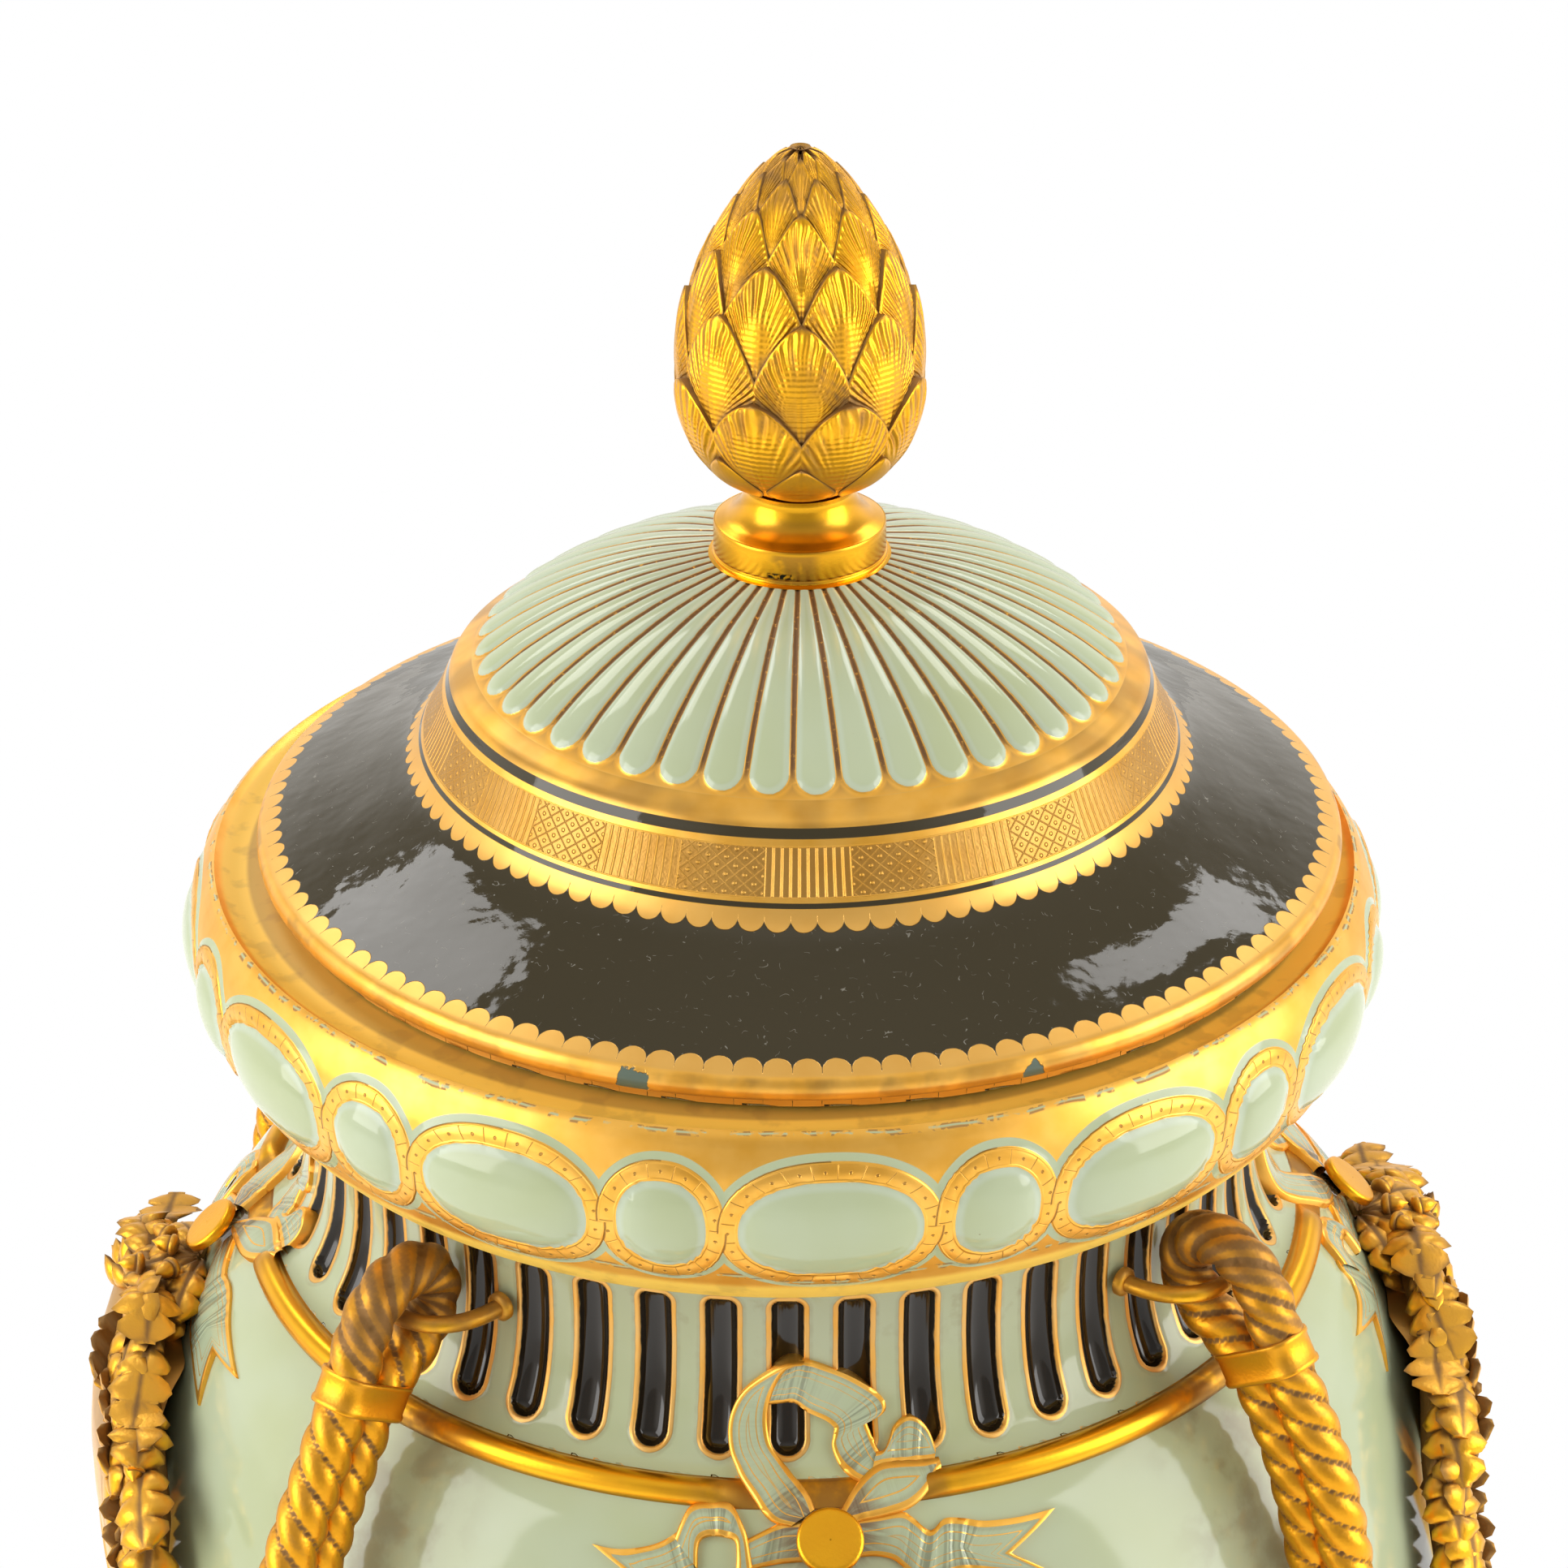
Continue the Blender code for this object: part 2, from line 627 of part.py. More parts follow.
def staple(name, azimuth, reach, level, surface):
    """A wire hoop set in the porcelain, standing out level from it."""
    skin = Skin()
    root = outline_radius(NECK_OUTLINE + BELLY_OUTLINE, level) + GAP + 0.2
    stations = []
    steps = 5
    for k in range(steps + 1):
        turn = math.pi * (k / steps - 0.5)
        aside = STAPLE_HALF_SPAN * math.sin(turn)
        out = root + (reach - root) * math.cos(turn) ** 0.8
        ahead = Vector((math.cos(turn) * STAPLE_HALF_SPAN, -math.sin(turn) * (reach - root)))
        if k in (0, steps):
            ahead = Vector((0.0, 1.0 if k == 0 else -1.0))
        ahead.normalize()
        across = Vector((ahead.y, -ahead.x))
        ring = []
        for corner in range(4):
            spin = 2 * math.pi * corner / 4
            side = aside + across.x * STAPLE_WIRE * math.cos(spin)
            far = out + across.y * STAPLE_WIRE * math.cos(spin)
            ring.append(in_plane(azimuth, (far, level + STAPLE_WIRE * math.sin(spin)), side))
        stations.append(ring)
    sweep(skin, stations)
    return skin.finish(name, surface)


def garland_centre(azimuth, height):
    """Where the garland's middle lies: clear of the body, and further out under the boss."""
    on_slope = height > -112.0
    clearance = 3.4 if on_slope else 1.2
    rest = outline_radius(BELLY_OUTLINE, height) + GARLAND_HALF_DEPTH + clearance
    top = max(0.0, 1.0 - abs(azimuth) / 20.0) if on_slope else 0.0
    return max(rest, GARLAND_TOP_RADIUS * top + rest * (1.0 - top))


def oak_garland(name, quarter, surface):
    """A wreath of oak leaves hung from a flat boss, round the tablet."""
    skin = Skin()
    half = GARLAND_LINE
    line = half + [(-azimuth, height) for azimuth, height in half[:0:-1]]
    path = [Vector(point) for point in line]
    stations = []
    count = len(path)
    for k, point in enumerate(path):
        before = path[k - 1]
        after = path[(k + 1) % count]
        along = Vector(((after.x - before.x) * 2.2, after.y - before.y)).normalized()
        radius = garland_centre(point.x, point.y)
        station = []
        for corner in range(6):
            swell = 1.04 if (corner + k) % 2 else 0.86
            turn = 2 * math.pi * corner / 6
            across = GARLAND_HALF_WIDTH * swell * math.cos(turn)
            out = GARLAND_HALF_DEPTH * swell * math.sin(turn)
            azimuth = quarter + point.x + math.degrees(-along.y * across / radius)
            station.append(around(azimuth, radius + out, point.y + along.x * across))
        stations.append(station)
    sweep(skin, stations, closed=True)
    wreath = skin.finish(name, surface, sharp=70.0)
    join(wreath, [boss(f"{name} boss", quarter, surface)])
    return wreath


def boss(name, quarter, surface):
    """The flat gilt disc over the knot of the bow."""
    skin = Skin()
    centre = Vector(BOSS_CENTRE)
    normal = Vector(BOSS_NORMAL).normalized()
    down = Vector((normal.y, -normal.x))
    stations = []
    for lift, reach in ((-1.1, BOSS_RADIUS), (1.1, BOSS_RADIUS - 0.3)):
        station = []
        for k in range(BOSS_SIDES):
            turn = 2 * math.pi * k / BOSS_SIDES
            at = centre + normal * lift + down * (reach * 1.02 * math.cos(turn))
            station.append(in_plane(quarter, at, reach * math.sin(turn)))
        stations.append(station)
    sweep(skin, stations)
    return skin.finish(name, surface)


# ---------------------------------------------------------------- foot

def socle(surface):
    """A plain waisted foot between the body and the plinth."""
    skin = Skin()
    columns = evenly(20)
    outline = [(36.0, BODY_BOTTOM - GAP), (37.0, -322.0), (26.5, -332.0), (25.0, -345.0),
               (38.0, -366.0), (56.0, -379.0), (57.0, -388.0)]
    rings = [skin.ring(r, z, columns) for r, z in outline]
    skin.strips(rings)
    skin.cap(rings[0], outline[0][1])
    skin.cap(rings[-1], outline[-1][1])
    return skin.finish("socle", surface)


def plinth(surface):
    """A square plinth with a sloped upper moulding."""
    skin = Skin()
    levels = [(-388.0 - GAP, 60.0), (-393.0, 62.0), (-399.0, 66.0), (-404.0, 66.0),
              (-405.5, 64.5), (-424.0, 64.5), (-425.5, 67.0), (-RIM_HEIGHT, 67.0)]
    stations = []
    for height, half in levels:
        stations.append([Vector((x * half, y * half, height))
                         for x, y in ((-1, -1), (1, -1), (1, 1), (-1, 1))])
    sweep(skin, stations)
    return skin.finish("plinth", surface)


def main():
    clear_scene()
    celadon = material("celadon porcelain", (0.55, 0.64, 0.52), 0.12, 0.0)
    dark = material("lid glaze", (0.30, 0.32, 0.24), 0.1, 0.0)
    gilt = material("gilding", (0.80, 0.52, 0.14), 0.3, 1.0)
    bronze = material("matt gilt bronze", (0.62, 0.42, 0.16), 0.45, 1.0)

    urn_body(celadon, gilt)
    lid(dark)
    pine_cone_finial(gilt)
    for azimuth in CORNERS:
        label = {45.0: "front_right", 135.0: "back_right", 225.0: "back_left", 315.0: "front_left"}
        rope(f"rope_{label[azimuth]}", azimuth, bronze)
        staple(f"upper_staple_{label[azimuth]}", azimuth, *UPPER_STAPLE, gilt)
        staple(f"lower_staple_{label[azimuth]}", azimuth, *LOWER_STAPLE, gilt)
    for quarter, label in zip(QUARTERS, ("front", "right", "back", "left")):
        oak_garland(f"oak_garland_{label}", quarter, bronze)
    socle(celadon)
    plinth(gilt)


main()
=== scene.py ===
"""The finish of the covered mantel urn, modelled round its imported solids.

Lengths are in millimetres, and heights are measured from the plane of the lid's rim, as on the solids.
Azimuth 0 is the front bow, towards -Y, and it grows towards +X.
"""

import json
import math

import bmesh
import bpy
import numpy as np
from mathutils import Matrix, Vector

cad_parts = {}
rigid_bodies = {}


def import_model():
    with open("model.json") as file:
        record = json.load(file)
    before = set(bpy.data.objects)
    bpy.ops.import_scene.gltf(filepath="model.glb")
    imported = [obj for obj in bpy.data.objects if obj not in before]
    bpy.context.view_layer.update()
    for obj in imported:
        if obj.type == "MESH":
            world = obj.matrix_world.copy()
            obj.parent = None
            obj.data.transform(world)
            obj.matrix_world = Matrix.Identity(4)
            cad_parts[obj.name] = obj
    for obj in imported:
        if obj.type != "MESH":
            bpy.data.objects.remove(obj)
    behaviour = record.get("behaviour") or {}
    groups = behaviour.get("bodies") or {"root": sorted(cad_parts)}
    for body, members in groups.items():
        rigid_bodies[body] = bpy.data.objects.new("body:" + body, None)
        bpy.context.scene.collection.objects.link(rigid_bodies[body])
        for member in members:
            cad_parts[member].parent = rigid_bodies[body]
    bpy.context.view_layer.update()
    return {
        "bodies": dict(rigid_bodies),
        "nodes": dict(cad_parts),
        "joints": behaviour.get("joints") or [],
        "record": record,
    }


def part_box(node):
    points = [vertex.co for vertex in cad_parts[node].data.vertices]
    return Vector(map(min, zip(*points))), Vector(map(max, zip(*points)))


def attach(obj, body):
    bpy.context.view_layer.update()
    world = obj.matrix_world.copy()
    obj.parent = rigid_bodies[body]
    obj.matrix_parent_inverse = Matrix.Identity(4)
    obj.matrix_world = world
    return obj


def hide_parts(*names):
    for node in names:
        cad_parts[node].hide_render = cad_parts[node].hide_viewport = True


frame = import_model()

MM = 0.001
RIDGE_LEVEL = -5.8  # the collar's ridge, the highest point of the body
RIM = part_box("urn_body")[1][2] / MM - RIDGE_LEVEL  # height of the rim plane above the ground
LID_AXIS = (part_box("lid")[0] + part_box("lid")[1]) / 2 / MM
LID_CENTRE = (LID_AXIS[0], LID_AXIS[1])
SEED = 7
DEGREE = math.radians(1.0)
BARELY = 1e-6  # keeps a length off nought

# ---------------------------------------------------------------- driving dimensions, as on the solids

LEDGE_OUTLINE = [
    (93.0, -19.0), (93.0, -7.0), (94.0, -6.3), (98.0, -7.0), (101.5, -7.6), (104.0, -7.0), (105.2, -6.0),
]
COLLAR_OUTLINE = [
    (105.6, -5.8), (106.6, -6.6), (108.3, -9.5), (109.5, -12.6), (110.0, -16.0), (110.2, -19.0),
    (110.0, -22.0), (109.4, -25.6), (108.5, -29.0), (107.2, -32.4), (105.5, -35.5), (103.6, -38.6),
    (101.5, -41.0), (99.5, -42.8), (96.5, -44.0), (92.5, -44.6), (90.4, -45.6),
]
NECK_OUTLINE = [
    (90.4, -45.6), (90.0, -48.0), (89.3, -54.0), (89.3, -62.0), (90.6, -70.0), (93.0, -76.0),
    (95.5, -79.3), (98.4, -81.3),
]
BELLY_OUTLINE = [
    (103.3, -84.4), (107.2, -88.0), (110.6, -92.8), (114.2, -98.5), (118.2, -106.8), (121.6, -115.0),
    (125.4, -126.5), (128.4, -138.5), (130.4, -149.5), (131.0, -160.0), (130.4, -177.0), (127.8, -196.0),
    (122.2, -216.0), (114.0, -236.0), (101.5, -258.0), (86.0, -279.0), (67.5, -298.5), (49.0, -315.0),
    (36.0, -318.0),
]
INNER_OUTLINE = [
    (93.0, -19.0), (84.0, -46.0), (83.0, -68.0), (98.0, -88.0), (117.0, -121.0), (124.0, -158.0),
    (117.5, -212.0), (86.0, -268.0), (36.0, -305.0), (0.02, -308.0),
]
RING_CENTRE = (101.0, -83.0)
RING_RADIUS = 2.7
RING_SLOPE = (0.857, -0.515)
BODY_BOTTOM = -318.0

QUARTERS = {"front": 0.0, "right": 90.0, "back": 180.0, "left": 270.0}
CORNERS = {"front_right": 45.0, "back_right": 135.0, "back_left": 225.0, "front_left": 315.0}

# The collar's two kinds of cabochon, in turn every 15 degrees: half angle, half height and centre level.
OVAL = (8.2, 9.8, -23.2)
ROUND = (4.0, 8.8, -22.8)
OVAL_POWER = 2.3
OVAL_RISE = 2.3
ROUND_RISE = 2.0
CABOCHON_PITCH = 30.0
COLLAR_ARC = 110.0 * DEGREE  # millimetres for a degree
OVAL_BOXES = 21  # tooled boxes round each cabochon's frame
ROUND_BOXES = 14
BOX_LENGTH = 4.6
FRAME_LINE = 0.35  # from a frame's edge to its tooled line
COLLAR_COLUMNS = 600
RIDGE_GIRTH = 106.2  # radius where the collar's edge is worn
LEDGE_GIRTH = 104.4  # the ledge that the lid stands on lies inside it
LEDGE_SHADE_GIRTH = 99.6  # under the lid's rim
GILT_ABOVE = -8.2  # level over which the collar is gilt all round
FRAME_WIDTH = 3.4
FRAME_RISE = 0.6
OUTLINE_WIDTH = 1.3  # celadon line left round the frames

FLUTES = 48
FLUTE_PITCH = 360.0 / FLUTES
FLUTE_HALF = 1.8  # degrees
FLUTE_DEPTH = 2.2
FLUTE_TOP = -50.0
FLUTE_CORNER = 1.7
FLUTE_FOOT = -76.4
FOOT_SLANT = 1.25  # surface length for a millimetre of height at a flute's foot

LOBES = 44
LOBE_PHASE = -5.55  # azimuth of one groove of the lid
LOBE_PITCH = 360.0 / LOBES
LOBE_SPREAD = 0.0714 - 0.004  # half width of a lobe for each millimetre of radius
LOBE_GAP = 0.40
LOBE_RISE = 0.27  # height of a lobe for its half width
LID_COLUMNS = 16 * LOBES
LOBE_END = 56.3
LOBE_SLANT = 1.25
SHOULDER_ARC = 1.8  # millimetres for a degree at the bows
RIBBON_STEP = 0.5
RIBBON_CROWN = 0.45  # rise of a ribbon's middle over its edges
BEAD_PLACE = 0.50  # from a ribbon's edge to its gilt bead
BEAD_RISE = 0.16
FOLD_REACH = 1.6
SKIRT = -2.3  # a ribbon's edges reach this deep into the body

LID_OUTLINE = [
    (15.0, 52.6), (20.0, 51.5), (30.0, 48.9), (41.0, 44.6), (50.0, 39.8), (56.6, 35.2), (59.4, 33.0),
    (61.4, 31.7), (63.2, 30.6), (64.0, 29.6), (64.4, 28.4), (65.0, 27.2), (67.0, 22.6), (69.4, 18.0),
    (70.6, 15.9), (72.4, 13.8), (76.0, 11.5), (84.0, 7.4), (92.0, 4.1), (98.0, 1.4), (99.5, 0.6),
    (100.2, -0.5), (100.3, -2.0), (99.6, -3.4), (97.6, -4.6), (97.4, -5.9),
]
LID_UNDERSIDE = [
    (97.4, -5.9), (86.6, -5.9), (86.4, -15.0), (81.5, -15.0), (80.0, -1.0), (64.0, 10.0), (55.0, 29.0),
    (30.0, 43.0), (0.02, 46.5),
]

CONE_OUTLINE = [
    (10.3, 66.4), (12.6, 67.4), (17.2, 70.2), (20.6, 75.0), (22.4, 81.0), (22.9, 88.0), (22.3, 95.0),
    (20.6, 102.5), (17.8, 109.5), (14.3, 116.0), (10.2, 122.0), (6.4, 126.2), (3.4, 128.6), (0.1, 129.6),
]
BAND_PITCH = 360.0 / 28  # tooled panels, ribbed and netted in turn
BAND_PHASE = -9.45
BAND_RIBS = 10
BAND_GIRTH = 67.2
NET_CELLS = 4.5  # cells of the net across one panel
NET_WIDTH = 3.35
NET_HEIGHT = 2.95
NET_THREAD_PITCH = 2.2
# Rows of scallops: count, phase, middle radius, radius of the tips, and 1 if they point outwards.
BAND_SCALLOPS = (98, -1.82, 71.6, 72.5, 1.0)
RIM_SCALLOPS = (123, -2.05, 97.0, 95.7, -1.0)
# The lid's rings, by the radii of their edges.
MOULDING = (59.8, 64.15)
MOULDING_DULL_TO = 63.6
UPPER_LINE = (64.05, 64.75)
TOOLED_BAND = (65.0, 69.4)
LOWER_LINE = (69.5, 69.95)
BRIM_START = 70.6
RIM_ROLL = 99.4
RIM_CHIP_LEVEL = -2.4
RIM_CHIPS = ((-20.4, 2.7), (19.1, 1.9))  # azimuth and reach

FINIAL_BASE = [
    (0.02, 52.4), (15.4, 52.4), (15.8, 52.7), (15.85, 53.2), (15.55, 53.6), (15.6, 54.0), (15.6, 58.6),
    (15.3, 59.1), (14.4, 59.5), (13.1, 60.1), (11.8, 61.2), (10.8, 62.6), (10.2, 64.2), (10.1, 65.4),
    (10.3, 66.4),
]
SCALES = 8
SCALE_TIPS = [0.0, 77.2, 89.7, 103.9, 112.8, 120.9, 125.8, 128.6, 129.6]
SCALE_TUCK = 3.5  # a scale's foot lies this far below the tip of the row before last
VEIN_COUNT = 15.0
VEIN_RISE = 0.34
SCALE_FEET = {1: 67.6, 2: 68.0}  # the others stand over the row before last
CONE_PHASE = -3.6

ROPE_RADIUS = 4.9
ROPE_LAY = 19.0  # length of one turn of the strands
ROPE_STEP = 0.85
ROPE_SIDES = 36
ROPE_CORE = 0.70  # depth of the grooves, as a share of the radius
ROPE_SWELL = 0.31
ROPE_RIDGE = 0.13  # a fine raised line beside each groove
ROPE_RIDGE_PLACE = 0.13
ROPE_SPACING = 7.6
ROPE_DRAWN_IN = {"front_right": 4.6}
ROPE_PAIR = [
    (113.9, -71.5), (122.0, -84.8), (130.6, -100.2), (138.2, -119.5), (142.6, -140.0), (143.9, -158.0),
    (143.7, -167.0),
]
ROPE_TOP_LOOP = [
    (109.2, -74.3), (101.3, -67.4), (96.6, -62.4), (95.3, -57.4), (97.6, -53.2), (102.3, -51.8),
    (107.6, -53.4), (111.8, -57.4), (114.9, -63.3),
]
ROPE_LOWER_LOOP = [
    (151.0, -177.0), (150.6, -185.5), (146.6, -190.6), (140.4, -190.6), (136.4, -185.5), (136.0, -177.0),
]
BAND_LENGTH = 6.5
BAND_HALF_WIDTH = 5.6
BAND_HALF_DEPTH = 9.3
# Half the section of a rope's band: place along it, and size.
HALF_BAND = ((-0.5, 0.86), (-0.5, 0.985), (-0.44, 1.0), (-0.36, 0.995), (-0.3, 0.965))
BAND_STATIONS = HALF_BAND + tuple((-place, size) for place, size in HALF_BAND[::-1])

STAPLE_WIRE = 1.6
STAPLE_HALF_SPAN = 11.4
STAPLE_COLLAR = ((-0.1, 2.7), (0.9, 2.7), (1.5, 2.0))  # distance out of the wall, radius
UPPER_STAPLE = (104.2, -60.2)
LOWER_STAPLE = (143.5, -182.2)

GARLAND_LINE = [
    (0.0, -99.5), (6.0, -101.5), (12.0, -107.0), (17.5, -114.5), (21.2, -126.0), (22.8, -145.0),
    (22.6, -167.0), (21.0, -188.0), (15.2, -208.0), (5.0, -215.5),
]
GARLAND_TOP_RADIUS = 118.6
GARLAND_TOP_LEVEL = -112.0
GARLAND_STEP = 12.4
LOBE_STATIONS = (0.0, 0.18, 0.5, 0.87)  # cross sections of an oak leaf within each lobe
NOTCH_PLACE = 0.12
LEAF_THICKNESS = 1.4
LEAF_CUP = 0.17  # drop of a leaf's edges for its width
LEAF_SIZE = (20.5, 14.6)  # length and width
TOP_LEAF_WIDTH = 10.5
ACORN_SIZE = 2.7
TOP_ACORN_SIZE = 2.0
HIGHEST_LEAF = [
    (112.0, -91.3), (116.0, -88.6), (120.0, -86.6), (124.0, -86.4), (127.0, -88.5), (129.5, -93.0),
    (132.0, -99.0), (136.0, -106.0),
]
LANES = (-68.0, -22.0, 22.0, 68.0)  # degrees round the wreath's core, from straight out
HALF_SIDE = 135.6  # the solids reach a little further
TOP_ROOT = (112.5, -93.0)  # where the leaves under the boss spread from
FIVE_WIDE = (-1.25, -0.62, 0.0, 0.62, 1.25)
# Layers of leaves under the boss: their drop, rise and length, and the angles they spread to.
TOP_LAYERS = ((0.10, 0.0, 15.5, FIVE_WIDE), (0.55, -2.6, 15.0, (-0.95, -0.32, 0.32, 0.95)),
              (1.15, -5.0, 14.0, FIVE_WIDE))
# The acorns on top of them: angle, distance from the root and rise.
TOP_ACORNS = ((-0.75, 8.0, 1.0), (0.1, 11.0, -0.4), (0.8, 7.0, 1.2), (-0.2, 4.5, 2.0))
# Place along an acorn, radius, and how far it stands out for the patina.
ACORN_PROFILE = [
    (0.0, 0.02, 0.3), (0.02, 0.3, 0.4), (0.1, 0.66, 0.6), (0.3, 0.98, 0.7), (0.55, 1.1, 0.75),
    (0.8, 1.06, 0.6), (0.88, 0.95, 0.3), (0.9, 0.82, 0.25), (1.2, 0.84, 0.75), (1.7, 0.76, 0.9),
    (2.15, 0.52, 0.9), (2.4, 0.22, 0.8), (2.58, 0.12, 0.8), (2.68, 0.02, 0.8),
]
BOSS_PROFILE = [
    (1.0, 0.02), (1.0, 0.8), (0.98, 0.9), (0.8, 0.97), (0.4, 1.0), (-0.8, 1.0), (-1.1, 0.9), (-1.1, 0.02),
]
BOSS_RADIUS = 5.9
BOSS_CENTRE = (110.6, -85.9)
BOSS_NORMAL = (0.648, 0.762)

TABLET_HALF_WIDTH = 36.0
TABLET_TOP = -104.0
TABLET_BOTTOM = -202.0
TABLET_CORNER = 14.0
TABLET_OUTLINE = [
    (127.0, -104.0), (131.0, -106.5), (133.8, -110.5), (135.3, -116.0), (136.2, -123.0), (136.4, -131.0),
    (135.9, -140.0), (134.1, -165.0), (131.6, -185.0), (128.8, -202.0),
]
TABLET_RECESS = 1.6
TABLET_SHRINK = 0.65  # the face lies this much inside its outline
TABLET_ARC = DEGREE * TABLET_OUTLINE[5][0]
TABLET_COLUMNS = 168
PANEL_HALF_WIDTH = 28.0
PANEL_TOP = -143.0
PANEL_BOTTOM = -194.0
PANEL_CORNER = 20.0
# Steps of the two edges: distance in from the outline, and lift.
TABLET_EDGE = ((0.0, -9.0), (0.0, -2.6), (0.2, -1.6), (0.7, -0.8), (1.5, -0.3), (2.8, -0.06), (4.6, 0.0))
PANEL_EDGE = ((-1.6, 0.0), (-1.0, 0.25), (-0.6, 0.35), (-0.2, 0.2), (0.0, -0.3), (0.5, -1.3),
              (1.2, -TABLET_RECESS))

SOCLE_OUTLINE = [
    (0.02, -318.3), (36.0, -318.3), (37.0, -319.6), (37.0, -321.4), (36.0, -322.4), (31.0, -325.6),
    (27.6, -330.0), (25.6, -337.0), (25.2, -345.0), (28.4, -355.0), (35.0, -363.6), (44.0, -370.6),
    (52.0, -376.0), (55.6, -379.4), (56.8, -383.0), (57.0, -388.0), (0.02, -388.0),
]
PLINTH_LEVELS = [
    (-388.3, 0.02), (-388.3, 59.4), (-389.0, 60.0), (-393.0, 61.6), (-396.4, 63.4), (-399.0, 65.6),
    (-400.0, 66.0), (-403.4, 66.0), (-404.2, 65.6), (-405.5, 64.5), (-423.6, 64.5), (-424.6, 65.4),
    (-425.5, 66.6), (-426.4, 67.0), (-430.0, 67.0), (-430.0, 0.02),
]


# The picture's camera, its lights and the brightness of its walls.
CAMERA_LENS = 111.8
CAMERA_SENSOR = 36.0
CAMERA_PLACE = (-58.1, -800.3, RIM + 416.7)
CAMERA_TURN = (62.85, 0.0, -4.15)  # degrees: 27 down, and a little to the right
WALLS = {"room": 0.52, "sides": 0.65, "rear": 0.34, "near": 0.12, "ceiling": 0.34}
# Places of the right-hand lights and their sizes in metres, and their powers in watts.
SOFTBOX_PLACE = (1.1, -0.35, 0.75)
REAR_PANEL_PLACE = (0.42, 0.54, 0.73)
SOFTBOX_SIZE = (0.8, 1.0)
SOFTBOX_POWER = 8.5
REAR_PANEL_SIZE = (0.45, 0.55)
REAR_PANEL_POWER = 3.2


# ---------------------------------------------------------------- curves and meshes

def around(azimuth, radius, height):
    """Points at these azimuths in degrees, as an array whose last side is x, y, z."""
    azimuth, radius, height = np.broadcast_arrays(azimuth, radius, height)
    angle = np.radians(azimuth)
    return np.stack([radius * np.sin(angle), -radius * np.cos(angle), height], -1)


def smooth_curve(points, steps, closed=False):
    """Points of a Catmull-Rom curve through these ones, with some steps for each span."""
    points = np.asarray(points, float)
    count = len(points)
    spans = np.arange(count if closed else count - 1)
    wanted = [spans - 1, spans, spans + 1, spans + 2]
    corners = [points[i % count] if closed else points[np.clip(i, 0, count - 1)] for i in wanted]
    a, b, c, d = (corner[:, None] for corner in corners)
    t = (np.arange(steps) / steps)[None, :, None]
    found = 0.5 * (2 * b + (c - a) * t + (2 * a - 5 * b + 4 * c - d) * t ** 2
                   + (3 * b - a - 3 * c + d) * t ** 3)
    found = found.reshape(-1, points.shape[1])
    return found if closed else np.vstack([found, points[-1:]])


def lengths_along(line):
    """Distance from the first point to each point of a line."""
    steps = np.linalg.norm(np.diff(line, axis=0), axis=1)
    return np.concatenate([[0.0], np.cumsum(steps)])


def resample(line, positions):
    """Points of a line at these distances along it."""
    along = lengths_along(line)
    return np.stack([np.interp(positions, along, line[:, k]) for k in range(line.shape[1])], -1)


def evenly_spaced(line, spacing):
    """Points of a line at about this spacing."""
    total = lengths_along(line)[-1]
    return resample(line, np.linspace(0.0, total, max(2, round(total / spacing) + 1)))


def level_radius(outline, height):
    """Radius of a profile that falls steadily, at these heights."""
    radii, heights = np.array(outline).T
    return np.interp(-np.asarray(height, float), -heights, radii)


def smoothstep(low, high, value):
    """0 below the low limit, 1 over the high one, and an even slope between them."""
    share = np.clip((value - low) / (high - low), 0.0, 1.0)
    return share * share * (3.0 - 2.0 * share)


def bump(distance, width):
    """1 at no distance, and next to nothing past twice the width."""
    return np.exp(-(distance / width) ** 2)


def all_round(count):
    """Azimuths of an even ring of points."""
    return np.arange(count) * 360.0 / count


def unit(vectors):
    return vectors / np.maximum(np.linalg.norm(vectors, axis=-1, keepdims=True), 1e-9)


